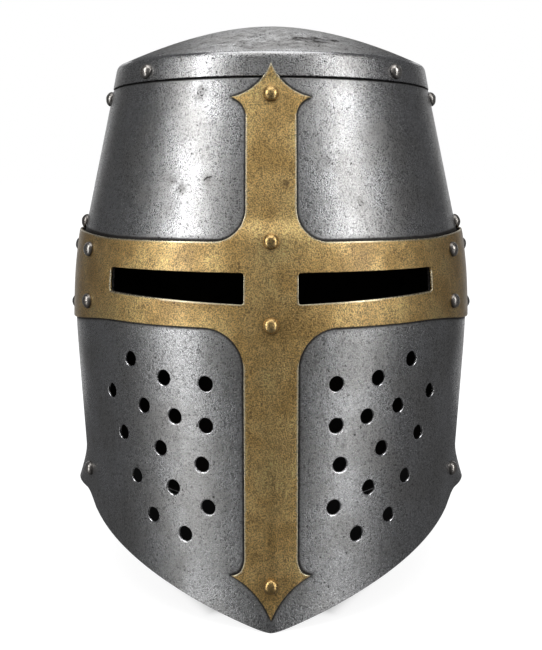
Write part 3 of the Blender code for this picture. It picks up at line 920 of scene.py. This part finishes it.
def steel_finish(name, light, dull, smooth, rough, speckled, seed):
    """Steel between two colours and two roughnesses; a share of 1 is speckled as the plates are."""
    material, tree = bare_tree(name)
    clouds = pattern(tree, CLOUD_SIZE, 4, (0.36, 0.66), seed)
    streaks = pattern(tree, STREAK_SIZE, 3, (0.3, 0.7), seed + 40, STREAK_STRETCH)
    speckle = pattern(tree, SPECKLE_SIZE, 2, (0.34, 0.66), seed + 80)
    specks = pattern(tree, SPECK_SIZE, 0, (0.6, 0.72), seed + 240)
    clusters = pattern(tree, PIT_CLUSTER, 2, (0.45, 0.75), seed + 120)
    blotches = pattern(tree, STAIN_SIZE, 5, (0.35, 0.62), seed + 200)
    edge, grime_and_shade, stain = [node(tree, "Attribute", attribute_name=mark).outputs["Fac"]
                          for mark in ("edge", "grime_and_shade", "stain")]
    stain = node(tree, "Math", {0: stain, 1: blotches}, operation="MULTIPLY")
    gather = node(tree, "Math", {0: clusters, 1: 0.07}, operation="MULTIPLY")
    gather = node(tree, "Math", {0: stain, 1: 0.22, 2: gather}, operation="MULTIPLY_ADD")
    pits = pattern(tree, PIT_SIZE, 0, (0.76, 0.86), seed + 160, more=gather)
    edge = node(tree, "MapRange", {0: edge, 1: 0.5, 2: 1.0}, interpolation_type="SMOOTHSTEP")

    body = node(tree, "Mix", {0: clouds, 6: colour(light), 7: colour(dull)}, data_type="RGBA")
    grain = node(tree, "MapRange", {0: speckle, 3: 1 - 0.34 * speckled, 4: 1 + 0.22 * speckled})
    grain = node(tree, "Math", {0: streaks, 1: 0.09, 2: grain}, operation="MULTIPLY_ADD")
    body = node(tree, "VectorMath", {0: body, "Scale": grain}, operation="SCALE")
    # The dark grime tint is dirt round the rivets and in caked stains, a painted contact shadow beside the edges of
    # pieces that lie over a plate, and on rivet heads a painted shade on their lower side; the pale edge tint is
    # wear, and a painted highlight on edges that face up
    for mark, share, tint in ((stain, 0.35, STEEL_STAIN), (specks, 0.36 * speckled, STEEL_PIT), (pits, 0.85 * speckled, STEEL_PIT),
                              (grime_and_shade, 0.9, GRIME_AND_SHADE), (edge, 0.9, STEEL_WEAR_AND_SHEEN)):
        share = node(tree, "Math", {0: mark, 1: share}, operation="MULTIPLY")
        body = node(tree, "Mix", {0: share, 6: body, 7: colour(tint)}, data_type="RGBA")

    dullness = node(tree, "MapRange", {0: clouds, 3: smooth, 4: rough})
    for mark, share in ((speckle, 0.06), (stain, 0.2), (grime_and_shade, 0.25), (pits, 0.25), (edge, -0.1)):
        dullness = node(tree, "Math", {0: mark, 1: share, 2: dullness}, operation="MULTIPLY_ADD")
    height = node(tree, "Math", {0: pits, 1: -1.2, 2: speckle}, operation="MULTIPLY_ADD")
    height = node(tree, "Math", {0: streaks, 1: 0.25, 2: height}, operation="MULTIPLY_ADD")
    rubbed = node(tree, "MapRange", {0: edge, 3: 1.0, 4: 0.0})
    height = node(tree, "Math", {0: height, 1: rubbed}, operation="MULTIPLY")
    return finish(tree, material, body, dullness, height, STEEL_BUMP * speckled, {"Metallic": 1.0})


steel_plate = steel_finish("polished mild steel", STEEL_LIGHT, STEEL_DULL, 0.23, 0.27, 1.0, 0)
steel_rivet = steel_finish("hammered rivet steel", "#c9c5c0", "#a39c95", 0.2, 0.28, 0.3, 300)

# %% [markdown]
# Antiqued brass
# Brass sheet for fittings is rolled, then darkened with a patina, rubbed back and waxed. The
# eye reads a satin gold with an upright rolling grain, brown pores that stay dark, cloudy
# patches where more patina was left, and a pale shine of wax over it. Edges are rubbed clean, and
# those that face up or sideways carry a painted highlight as well.

# %% Brass
BRASS_LIGHT = "#edca86"
BRASS_DULL = "#c09e5f"
BRASS_PORE = "#4a3920"
BRASS_SIDE_TONE = "#6c5b44"
BRASS_WEAR_AND_SHEEN = "#fbeecb"
BRASS_BUMP = 0.05
WAX = 1.0
WAX_ROUGHNESS = 0.38


def brass_finish(name, smooth, rough, speckled, seed):
    """Brass between two roughnesses; a share of 1 is speckled as the sheet is."""
    material, tree = bare_tree(name)
    clouds = pattern(tree, 18, 4, (0.34, 0.68), seed)
    streaks = pattern(tree, 1.8, 3, (0.3, 0.7), seed + 40, STREAK_STRETCH)
    speckle = pattern(tree, SPECKLE_SIZE, 2, (0.34, 0.66), seed + 80)
    clusters = pattern(tree, 11, 2, (0.40, 0.70), seed + 120)
    blotches = pattern(tree, STAIN_SIZE, 4, (0.3, 0.6), seed + 200)
    edge, grime_and_shade, stain, side_tone = [node(tree, "Attribute", attribute_name=mark).outputs["Fac"]
                               for mark in ("edge", "grime_and_shade", "stain", "side_tone")]
    stain = node(tree, "Math", {0: stain, 1: blotches}, operation="MULTIPLY")
    gather = node(tree, "Math", {0: clusters, 1: 0.10}, operation="MULTIPLY")
    pores = pattern(tree, 1.0, 1, (0.60, 0.74), seed + 160, more=gather)
    edge = node(tree, "MapRange", {0: edge, 1: 0.5, 2: 1.0}, interpolation_type="SMOOTHSTEP")

    body = node(tree, "Mix", {0: clouds, 6: colour(BRASS_LIGHT), 7: colour(BRASS_DULL)}, data_type="RGBA")
    grain = node(tree, "MapRange", {0: speckle, 3: 1 - 0.5 * speckled, 4: 1 + 0.38 * speckled})
    grain = node(tree, "Math", {0: streaks, 1: 0.16, 2: grain}, operation="MULTIPLY_ADD")
    body = node(tree, "VectorMath", {0: body, "Scale": grain}, operation="SCALE")
    # The darker brown tint grows towards the arm ends at the sides; the dark grime tint is dirt round the rivets and
    # in caked stains, and on rivet heads a painted shade on their lower side; the pale edge tint is wear, and a
    # painted highlight on edges that face up or sideways
    for mark, share, tint in ((side_tone, 0.85, BRASS_SIDE_TONE), (stain, 0.8, BRASS_PORE), (pores, 0.5 * speckled, BRASS_PORE),
                              (grime_and_shade, 0.85, GRIME_AND_SHADE), (edge, 1.0, BRASS_WEAR_AND_SHEEN)):
        share = node(tree, "Math", {0: mark, 1: share}, operation="MULTIPLY")
        body = node(tree, "Mix", {0: share, 6: body, 7: colour(tint)}, data_type="RGBA")

    dullness = node(tree, "MapRange", {0: clouds, 3: smooth, 4: rough})
    for mark, share in ((speckle, 0.08), (stain, 0.2), (pores, 0.2), (edge, -0.2)):
        dullness = node(tree, "Math", {0: mark, 1: share, 2: dullness}, operation="MULTIPLY_ADD")
    height = node(tree, "Math", {0: pores, 1: -0.9, 2: speckle}, operation="MULTIPLY_ADD")
    height = node(tree, "Math", {0: streaks, 1: 0.35, 2: height}, operation="MULTIPLY_ADD")
    rubbed = node(tree, "MapRange", {0: edge, 3: 1.0, 4: 0.0})
    height = node(tree, "Math", {0: height, 1: rubbed}, operation="MULTIPLY")
    wax = {"Metallic": 1.0, "Coat Weight": WAX, "Coat Roughness": WAX_ROUGHNESS}
    return finish(tree, material, body, dullness, height, BRASS_BUMP * speckled, wax)


brass_sheet = brass_finish("antiqued sheet brass", 0.38, 0.46, 1.0, 500)
brass_rivet = brass_finish("rubbed rivet brass", 0.2, 0.26, 0.3, 700)

# %% [markdown]
# Black scale
# Nobody polished the inside: the sheet keeps the blue-black scale of the forge there, and a
# coat of old oil. The eye reads a dull near-black, which is why the sights and the breaths
# look like holes into nothing.

# %% Inside of the plates
SCALE_DARK = "#1a1918"
SCALE_BROWN = "#272320"


def scale_finish(name, seed):
    material, tree = bare_tree(name)
    clouds = pattern(tree, 14, 4, (0.35, 0.65), seed)
    speckle = pattern(tree, SPECKLE_SIZE, 2, (0.3, 0.7), seed + 80)
    body = node(tree, "Mix", {0: clouds, 6: colour(SCALE_DARK), 7: colour(SCALE_BROWN)}, data_type="RGBA")
    grain = node(tree, "MapRange", {0: speckle, 3: 0.7, 4: 1.2})
    body = node(tree, "VectorMath", {0: body, "Scale": grain}, operation="SCALE")
    dullness = node(tree, "MapRange", {0: clouds, 3: 0.62, 4: 0.78})
    return finish(tree, material, body, dullness, speckle, 0.04, {"Metallic": 1.0})


black_scale = scale_finish("oiled black scale", 900)

# %% [markdown]
# Rivets and what they hold
# A rivet passes through two, three or four layers, so each plate has a hole where the shank
# goes through it. The heads are domes that a hammer and a hollow punch shaped, no two quite
# alike. Dirt gathers round each head, and the plate is stained there; the dark rim of each head
# is painted heavier on its lower side, as shade. The table is the same one that the bare model
# has: name, azimuth, height, metal, and the layers from outside in.

# %% The rivets
RIVETS = (
    ("cross_rivet_head", 0, 278.9, "brass", ("cross", "upper front")),
    ("cross_rivet_brow", 0, 204.5, "brass", ("cross", "upper front")),
    ("cross_rivet_nose", 0, 162.3, "brass", ("cross", "face")),
    ("cross_rivet_foot", 0, 25.8, "brass", ("cross", "face")),
    ("arm_rivet_upper", 59.7, 196.8, "steel", ("cross", "face", "upper front")),
    ("arm_rivet_lower", 58.3, 168.2, "steel", ("cross", "face")),
    ("arm_end_rivet_upper", 90, 196.2, "steel", ("cross", "face", "nape", "upper back")),
    ("arm_end_rivet_lower", 90, 160.5, "steel", ("cross", "face", "nape")),
    ("seam_rivet_upper", 79.5, 282.3, "steel", ("upper front", "upper back")),
    ("seam_rivet_lower", 79.5, 211.0, "steel", ("upper front", "upper back")),
    ("corner_rivet", 69.5, 64.8, "steel", ("face", "nape")),
    ("crown_rivet_front", 46, 293.2, "steel", ("crown", "upper front")),
    ("crown_rivet_back", 134, 293.2, "steel", ("crown", "upper back")),
    ("crown_rivet_nape", 180, 293.2, "steel", ("crown", "upper back")),
    ("nape_rivet_outer", 119, 196.4, "steel", ("nape", "upper back")),
    ("nape_rivet_inner", 150, 196.4, "steel", ("nape", "upper back")),
    ("nape_rivet_middle", 180, 196.4, "steel", ("nape", "upper back")),
)
HEAD_RADIUS = 4.4
HEAD_HEIGHT = 3.4
SHANK_RADIUS = 2.0
HOLE_RADIUS = 2.5
HOLE_SIDES = 16
RIVET_TAIL = 0.6
SHEETS = {"cross": BRASS_SHEET, "crown": CROWN_SHEET}


def all_rivets():
    """Every rivet, those at the sides on both of them."""
    for name, azimuth, *rest in RIVETS:
        if azimuth in (0, 180):
            yield (name, azimuth, *rest)
        else:
            yield (name + "_left", azimuth, *rest)
            yield (name + "_right", -azimuth, *rest)


def axis_of(azimuth, height, layer):
    """Where a rivet stands on its outermost plate, and the way it points."""
    flat = np.array([on_bench(azimuth, height, layer)])
    return bend(flat, layer)[0], outward(bend, flat, layer)[0]


def pierced(azimuth, height, top, layer):
    """The flat place where a rivet's shank passes through a layer."""
    place, out = axis_of(azimuth, height, top)
    if layer in ("upper back", "nape"):
        azimuth = azimuth % 360
    flat = np.array([on_bench(azimuth, height, layer)], float)
    for _ in range(4):
        miss = bend(flat, layer)[0] - place
        ways = np.array([way[0] for way in slopes(bend, flat, layer)])
        level = ways - np.outer(ways @ out, out)
        flat -= np.linalg.lstsq(level.T, miss - out * (miss @ out), rcond=None)[0]
    return flat[0]


def rivet_holes(layer):
    """The holes that one layer has for its rivets."""
    holes = []
    for name, azimuth, height, metal, held in all_rivets():
        if layer in held:
            x, y = pierced(azimuth, height, held[0], layer)
            wide, tall = [np.linalg.norm(w) for w in slopes(bend, np.array([[x, y]]), layer)]
            turns = np.linspace(0, 2 * math.pi, HOLE_SIDES, endpoint=False)
            holes.append(np.column_stack([x + HOLE_RADIUS * np.cos(turns) / wide,
                                          y + HOLE_RADIUS * np.sin(turns) / tall]))
    return holes


for layer in ("cross", "crown", "face", "nape", "upper front", "upper back"):
    print(layer, "has", len(rivet_holes(layer)), "rivet holes")

# %% [markdown]
# Marks of wear, dirt and painted light
# Wear follows the shape: edges and corners are rubbed bright, and edges that face up carry a painted
# highlight as well. Beside the edge of each piece that lies over another, the plate beneath is
# darkened, partly dirt and partly painted contact shadow. So each corner of the mesh gets its marks
# from how far it lies from those lines. A few stains are listed where the helm has them.

# %% Marks on the plates
SEAM_DIRT_AND_SHADE = (0.7, 2.0)
RING_CLEAN = (3.6, 5.4)
RING_GRIME = 0.4
FOLD_WEAR = (0.3, 1.5)
CAKED = 0.9
DOME_STAIN = 0.7
DOME_EDGE = (301.5, 304)

# azimuth, height, radius, strength
STAINS = (
    (-22, 280, 6, 0.9), (-29, 236, 6, 1.0), (-25.5, 231, 5, 1.0), (-17.5, 235, 4, 1.0),
    (-28, 222, 9, 0.4), (-40, 228, 8, 0.5), (15.5, 245, 5, 0.8), (24.5, 224, 7, 0.6),
    (33, 262, 11, 0.5), (-58, 240, 14, 0.4), (60, 230, 16, 0.4),
    (69.5, 63, 9, 0.9), (-69.5, 63, 9, 0.9), (-62, 50, 12, 0.6), (44, 62, 14, 0.35),
    (-30, 110, 12, 0.3), (122, 90, 22, 0.5), (-150, 60, 26, 0.5), (170, 150, 20, 0.4),
    (-115, 232, 18, 0.5), (145, 262, 16, 0.5), (4.5, 233, 4, 1.0), (4.5, 276, 3, 0.6),
    (-9, 255, 4, 0.5), (3, 100, 7, 0.45), (-4, 60, 6, 0.5),
    (13, 310.4, 10, 1.4), (21, 310.2, 13, 1.55), (30, 310.8, 10, 1.45),
)


def distances(points, lines):
    """Distance in millimetres from flat points to the nearest of some lines."""
    if not len(lines):
        return np.full(len(points), 1e3)
    tree = tree_of(np.vstack(lines))
    return np.array([tree.find((x, y, 0))[2] for x, y in points])


def spread(flat, layer, azimuth, height):
    """Distance in millimetres along a sheet from its corners to a spot, which may be off it."""
    if (layer == "crown") != (height > DOME_EDGE[0]):
        return np.full(len(flat), 1e3)
    if layer == "crown":
        turn = math.radians(azimuth)
        return np.linalg.norm(flat - crown_reach(height) * np.array([math.sin(turn), -math.cos(turn)]), axis=1)
    here = polar(flat, layer)
    across = ((here[0] - azimuth + 180) % 360 - 180) * MM_PER_DEGREE
    return np.hypot(across, here[1] - height)


def laid_marks(flat, layer, seams):
    """Dirt with painted contact shadow, stain, and the tone towards the arm ends, of each corner of a flat plate."""
    azimuth, height = polar(flat, layer)
    if layer == "crown":
        height = crown_ring(height)[0]
    middles = [hole.mean(0) for hole in rivet_holes(layer)]
    ring = 1 - blend(*RING_CLEAN, distances(flat, [middles] if middles else []))
    # Beside the edges of pieces that lie over the plate it is darkened, partly dirt and partly painted contact
    # shadow
    seam_dirt_and_shade = 1 - blend(*SEAM_DIRT_AND_SHADE, distances(flat, seams))
    stain = np.zeros(len(flat))
    for a, h, radius, strength in STAINS:
        spot = 1 - blend(0.3, 1.0, spread(flat, layer, a, h) / radius)
        stain = np.maximum(stain, strength * spot)
    if layer == "crown":
        stain = np.maximum(stain, DOME_STAIN * blend(*DOME_EDGE, height))
    caked = CAKED * np.clip(stain - 1, 0, 1)
    # The brass is tinted darker and browner from 58 to 92 degrees round, towards the arm ends
    return {"grime_and_shade": np.maximum.reduce([ring * RING_GRIME, seam_dirt_and_shade, caked]), "stain": stain,
            "side_tone": blend(58, 92, turned(azimuth)) * (layer == "cross")}


print("stains set by hand:", len(STAINS))

# %% Make one plate
def make_plate(name, nodes, layer, outline, holes, seams, creases, metal):
    """Cut a plate and its holes, bend it, thicken it, mark it, and set it in the CAD's place."""
    sheet = SHEETS.get(layer, STEEL_SHEET)
    cuts = [drawn_in(np.array(hole), layer, True) for hole in holes]
    drills = [drawn_in(hole, layer, True) for hole in rivet_holes(layer)]
    rim = drawn_in(outline, layer, False)
    flat, triangles = triangulate([rim] + cuts + drills, seams + creases)
    marks = laid_marks(flat, layer, seams)
    places, up = hammered(flat, layer), outward(hammered, flat, layer)
    rubbed = BRASS_EDGE_WEAR_AND_SHEEN if layer == "cross" else STEEL_EDGE_WEAR_AND_SHEEN
    made = formed(places, up, triangles, sheet, rim_radius(layer), rubbed)
    vertices, normals, sources, wear_and_sheen, faces, inner = made
    marks = {mark: values[sources] for mark, values in marks.items()}
    wear_and_sheen = np.maximum(wear_and_sheen, (1 - blend(*FOLD_WEAR, distances(flat, creases)))[sources])
    marks["edge"] = wear_and_sheen * (1 - marks["grime_and_shade"])
    piece = add_mesh(name, vertices, normals, faces, inner, marks, (metal, black_scale))
    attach(piece, "root")
    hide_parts(nodes)
    print(name, len(faces) + len(inner), "faces")
    return piece


def crown_ring_line(height):
    """A line round the flat crown, closed, at a height."""
    turns = np.radians(np.linspace(-180, 180, 361))
    return crown_reach(height) * np.column_stack([np.sin(turns), -np.cos(turns)])


def hem(steps):
    """The crown's outline, a disc round its point."""
    return on_plate([(a, CROWN_HEM) for a in np.linspace(-180, 180, steps, endpoint=False)], "crown")


HEM_STEPS = 520
cross_line = on_plate(cross_outline(), "cross")
hem_line = on_plate(dense([(-180, CROWN_HEM), (360, CROWN_HEM)]), "face")
sight_lines = [on_plate(loop, "cross") for loop in sights]
face_back = on_plate(dense([(FACE_END_FOOT, 40), (FACE_END_TOP, SEAM_WAIST)]), "face")
front_back = on_plate(dense([(UPPER_FRONT_END, UPPER_FOOT), (UPPER_FRONT_END, UPPER_TOP)]), "face")


def both_sides(line):
    """A line on the left side and its mirror on the right, also counted round the back."""
    turn = np.array([360 * MM_PER_DEGREE, 0])
    return [line, line * (-1, 1) + turn, line * (-1, 1)]


lower_top = on_plate(dense([(0, LOWER_TOP), (360, LOWER_TOP)]), "face")
crown_fold = crown_ring_line(FOLD_CORNER[0] - 0.3)
crown_piece = make_plate("crown_plate_steel", "crown_plate", "crown", hem(HEM_STEPS), [], [], [crown_fold],
                         steel_plate)
upper_front = make_plate("upper_front_steel", "upper_front_plate", "upper front",
                         on_plate(upper_outline(0, UPPER_FRONT_END), "face"), [],
                         [cross_line, hem_line], [], steel_plate)
upper_back = make_plate("upper_back_steel", "upper_back_plate", "upper back",
                        on_plate(upper_outline(180, UPPER_BACK_START), "face"), [],
                        both_sides(front_back) + [hem_line, lower_top], [], steel_plate)
face_piece = make_plate("face_plate_steel", "face_plate", "face",
                        on_plate(face_outline(), "face"), sight_lines + breaths,
                        [cross_line] + sight_lines, [], steel_plate)
nape_piece = make_plate("nape_plate_steel", "nape_plate", "nape",
                        on_plate(nape_outline(), "nape"), [], both_sides(face_back), [],
                        steel_plate)
cross_piece = make_plate("brass_cross_sheet", "brass_cross", "cross", cross_line, sight_lines, [], [],
                         brass_sheet)

# %% Rivet heads
HEAD_SIDES = 28
HEAD_SEAT = 0.02
HEAD_RINGS = 10
HEAD_UNEVEN = 0.16
HEAD_FOOT = 0.12


def head_profile(grip):
    """Radius and height from the top of the dome down to the tail, and how rubbed each is."""
    rows = []
    for turn in np.linspace(0, math.pi / 2, HEAD_RINGS + 1)[1:]:
        rows.append((HEAD_RADIUS * math.sin(turn), HEAD_HEIGHT * math.cos(turn),
                     0.5 * math.cos(turn) ** 2, math.sin(turn) ** 10))
    rows += [(HEAD_RADIUS, -HEAD_FOOT, 0, 1), (SHANK_RADIUS, -HEAD_FOOT, 0, 1),
             (SHANK_RADIUS, -grip + 0.3, 0, 1), (SHANK_RADIUS - 0.4, -grip, 0, 1)]
    return rows


def stand_off(azimuth, height, layer, place, out):
    """How far a head stands off, to clear the wall that swells under its rim."""
    middle = np.array([on_bench(azimuth, height, layer)])
    turns = np.linspace(0, 2 * math.pi, 12, endpoint=False)
    rim = middle + HEAD_RADIUS * np.column_stack([np.cos(turns), np.sin(turns)])
    return max(0.0, float(np.max((bend(rim, layer) - place) @ out))) + HEAD_SEAT


def make_rivet(name, azimuth, height, metal, held, number):
    """Lathe a rivet, make it slightly uneven, and set it square to the wall."""
    place, out = axis_of(azimuth, height, held[0])
    place = place + out * stand_off(azimuth, height, held[0], place, out)
    side = np.cross(out, (0, 0, 1))
    side /= np.linalg.norm(side)
    rise = np.cross(side, out)
    grip = sum(SHEETS.get(layer, STEEL_SHEET) + 0.5 for layer in held) + RIVET_TAIL
    draw = np.random.default_rng(number)
    lean, phase = draw.uniform(-0.04, 0.04, 2), draw.uniform(0, 2 * math.pi, 3)
    points, wear_and_sheen, dirt_and_shade = [(0.0, 0.0, HEAD_HEIGHT * draw.uniform(0.91, 0.95))], [0.5], [0.0]
    for radius, high, rub, dirt in head_profile(grip):
        for turn in np.linspace(0, 2 * math.pi, HEAD_SIDES, endpoint=False):
            uneven = (math.sin(2 * turn + phase[0]) * 0.5 + math.sin(3 * turn + phase[1]) * 0.3
                      + math.sin(5 * turn + phase[2]) * 0.2)
            share = HEAD_UNEVEN * (radius / HEAD_RADIUS) * (high > -0.2)
            reach = radius * (1 - 0.02 * (high > -0.2)) + (uneven - 1) * share * 0.5
            lift = high * (0.94 + lean[0] * math.cos(turn) + lean[1] * math.sin(turn))
            points.append((reach * math.cos(turn), reach * math.sin(turn), lift))
            wear_and_sheen.append(rub)
            # The dark rim is painted heavier on the head's lower side and lighter on its upper side, as shade
            dirt_and_shade.append(dirt * (0.7 - 0.3 * math.sin(turn)))
    rings = (len(points) - 1) // HEAD_SIDES
    faces = [(0, 1 + i, 1 + (i + 1) % HEAD_SIDES) for i in range(HEAD_SIDES)]
    for ring in range(rings - 1):
        low = 1 + ring * HEAD_SIDES
        for i in range(HEAD_SIDES):
            j = (i + 1) % HEAD_SIDES
            faces.append((low + i, low + HEAD_SIDES + i, low + HEAD_SIDES + j, low + j))
    faces.append(tuple(range(1 + (rings - 1) * HEAD_SIDES, 1 + rings * HEAD_SIDES))[::-1])
    local = np.array(points)
    world = place + np.outer(local[:, 0], side) + np.outer(local[:, 1], rise) + np.outer(local[:, 2], out)
    mesh = bpy.data.meshes.new(name + "_head")
    mesh.from_pydata((world * MM + np.array([0, SHIFT, GROUND])).tolist(), [], faces)
    mesh.materials.append(brass_rivet if metal == "brass" else steel_rivet)
    smooth = [True] * len(faces)
    mesh.polygons.foreach_set("use_smooth", smooth)
    for mark, values in (("edge", wear_and_sheen), ("grime_and_shade", dirt_and_shade)):
        mesh.attributes.new(mark, "FLOAT", "POINT").data.foreach_set("value", np.array(values, np.float32))
    piece = bpy.data.objects.new(name + "_head", mesh)
    bpy.context.scene.collection.objects.link(piece)
    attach(piece, "root")
    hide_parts(name)
    return piece


heads = [make_rivet(*rivet, number) for number, rivet in enumerate(all_rivets())]
print(len(heads), "rivets of", len(heads[0].data.polygons), "faces")

# %% [markdown]
# Floor, light and camera
# Polished metal shows the room it stands in more than itself. A photographer lights it with
# large soft boxes: here a tall one at each side of the front, one overhead, and weaker ones
# behind for the other views. The dark gap between the two front boxes gives the dark middle
# of the face. The floor and the room are white, as in the picture.

# %% Floor and room
scene = bpy.context.scene
floor_mesh = bpy.data.meshes.new("floor")
FLOOR_HALF = 60.0
FLOOR_GLOW = 0.85
FLOOR_GREY = 0.25
# The floor glows an even white, with the helm's shadow painted into its glow and colour, from dark
# to light: to its sides, which spread backwards, in front, behind
SHADE_SLOPES = (0.25, 0.55)
SHADE_SIDE = (75, 100)
SHADE_FRONT = (-92, -115)
SHADE_BACK = (172, 235)
SHADE_LIGHT = 0.003
floor_mesh.from_pydata([(-FLOOR_HALF, -FLOOR_HALF, 0), (FLOOR_HALF, -FLOOR_HALF, 0),
                        (FLOOR_HALF, FLOOR_HALF, 0), (-FLOOR_HALF, FLOOR_HALF, 0)], [], [(0, 1, 2, 3)])
floor = bpy.data.objects.new("floor", floor_mesh)
scene.collection.objects.link(floor)
paper = bpy.data.materials.new("white paper")
paper.use_nodes = True
paper_shader = paper.node_tree.nodes["Principled BSDF"]
paper_shader.inputs["Emission Color"].default_value = colour("#ffffff")
place = node(paper.node_tree, "TexCoord").outputs["Object"]
place = node(paper.node_tree, "VectorMath", {0: place, "Scale": 1 / MM}, operation="SCALE")
place = node(paper.node_tree, "SeparateXYZ", {0: place})
behind = place.outputs["Y"]
slopes = [node(paper.node_tree, "Math", {0: behind, 1: slope}, operation="MULTIPLY") for slope in SHADE_SLOPES]
slope = node(paper.node_tree, "Math", {0: slopes[0], 1: slopes[1]}, operation="MINIMUM")
across = node(paper.node_tree, "Math", {0: place.outputs["X"]}, operation="ABSOLUTE")
across = node(paper.node_tree, "Math", {0: across, 1: slope}, operation="SUBTRACT")
lit = 0.0
for way, (dark, light) in ((across, SHADE_SIDE), (behind, SHADE_FRONT), (behind, SHADE_BACK)):
    brighter = node(paper.node_tree, "MapRange", {0: way, 1: dark, 2: light}, interpolation_type="SMOOTHSTEP")
    lit = node(paper.node_tree, "Math", {0: lit, 1: brighter}, operation="MAXIMUM")
lit = node(paper.node_tree, "MapRange", {0: lit, 3: SHADE_LIGHT, 4: 1.0})
grey = node(paper.node_tree, "Math", {0: lit, 1: FLOOR_GREY}, operation="MULTIPLY")
glow = node(paper.node_tree, "Math", {0: lit, 1: FLOOR_GLOW}, operation="MULTIPLY")
paper.node_tree.links.new(grey.outputs[0], paper_shader.inputs["Base Color"])
paper.node_tree.links.new(glow.outputs[0], paper_shader.inputs["Emission Strength"])
paper_shader.inputs["Roughness"].default_value = 0.9
paper_shader.inputs["Specular IOR Level"].default_value = 0.0
floor_mesh.materials.append(paper)
floor.visible_glossy = False
floor.visible_shadow = False

# What the metal reflects of the room, and what lights the floor
ROOM_DIM = 0.12
ROOM_WHITE = 1.0
room = bpy.data.worlds.new("room")
scene.world = room
room.use_nodes = True
room_tree = room.node_tree
for old in list(room_tree.nodes):
    room_tree.nodes.remove(old)
mirrored = node(room_tree, "LightPath").outputs["Is Glossy Ray"]
dim = node(room_tree, "Background", {"Color": colour("#e8e9ec"), "Strength": ROOM_DIM}).outputs[0]
white = node(room_tree, "Background", {"Color": colour("#ffffff"), "Strength": ROOM_WHITE}).outputs[0]
either = node(room_tree, "MixShader", {0: mirrored, 1: white, 2: dim}).outputs[0]
node(room_tree, "OutputWorld", {"Surface": either})
room.cycles.sampling_method = "NONE"
print("room light", ROOM_WHITE, "and", ROOM_DIM, "in the metal")

# %% Soft boxes
MIDDLE_HEIGHT = 0.17

# name, azimuth, elevation, distance, width, height, brightness
BOXES = (
    ("left_box", -51.5, 23, 1.30, 0.26, 1.01, 6.0),
    ("right_box", 51, 23, 1.30, 0.28, 1.01, 4.8),
    ("left_low", -51, -14, 1.30, 0.24, 0.50, 3.0),
    ("right_low", 46.5, -14, 1.30, 0.20, 0.50, 2.9),
    ("left_foot", -56, -32, 1.30, 0.46, 0.34, 0.65),
    ("right_foot", 54, -32, 1.30, 0.46, 0.34, 0.55),
    ("front_fill", 0, 16, 1.50, 0.50, 0.90, 0.15),
    ("overhead", 0, 82, 1.40, 1.20, 0.90, 1.0),
    ("top_front", 0, 62, 1.40, 1.30, 0.40, 2.2),
    ("back_left", -152, 6, 1.40, 0.30, 1.10, 0.65),
    ("back_right", 152, 6, 1.40, 0.30, 1.10, 0.65),
    ("back_box", 180, 40, 1.60, 0.60, 0.34, 1.9),
)


def add_box(name, azimuth, elevation, distance, width, height, brightness):
    """A soft box at a distance from the helm, of a brightness and not a power."""
    light = bpy.data.lights.new(name, "AREA")
    light.shape = "RECTANGLE"
    light.size, light.size_y = width, height
    light.energy = brightness * math.pi * width * height
    turn, rise = math.radians(azimuth), math.radians(elevation)
    way = Vector((math.sin(turn) * math.cos(rise), -math.cos(turn) * math.cos(rise), math.sin(rise)))
    box = bpy.data.objects.new(name, light)
    box.location = Vector((0, SHIFT, MIDDLE_HEIGHT)) + way * distance
    box.rotation_euler = way.to_track_quat("Z", "Y").to_euler()
    box.visible_camera = False
    scene.collection.objects.link(box)
    return box


for row in BOXES:
    add_box(*row)
print(len(BOXES), "soft boxes")

# %% Camera
# The picture was taken from in front, a little above the middle, from close by: the helm's
# arch over the shoulders is seen from above, and its crown seems lower than it is.
CAMERA_LENS = 56
CAMERA_PLACE = (0.0, -0.636, 0.2346)
CAMERA_TILT = 81.9

lens = bpy.data.cameras.new("camera")
lens.lens = CAMERA_LENS
lens.sensor_width = 36
camera = bpy.data.objects.new("camera", lens)
camera.location = CAMERA_PLACE
camera.rotation_euler = (math.radians(CAMERA_TILT), 0, 0)
scene.collection.objects.link(camera)
scene.camera = camera
scene.view_settings.view_transform = "Standard"
print("camera", CAMERA_PLACE, "tilted", CAMERA_TILT)
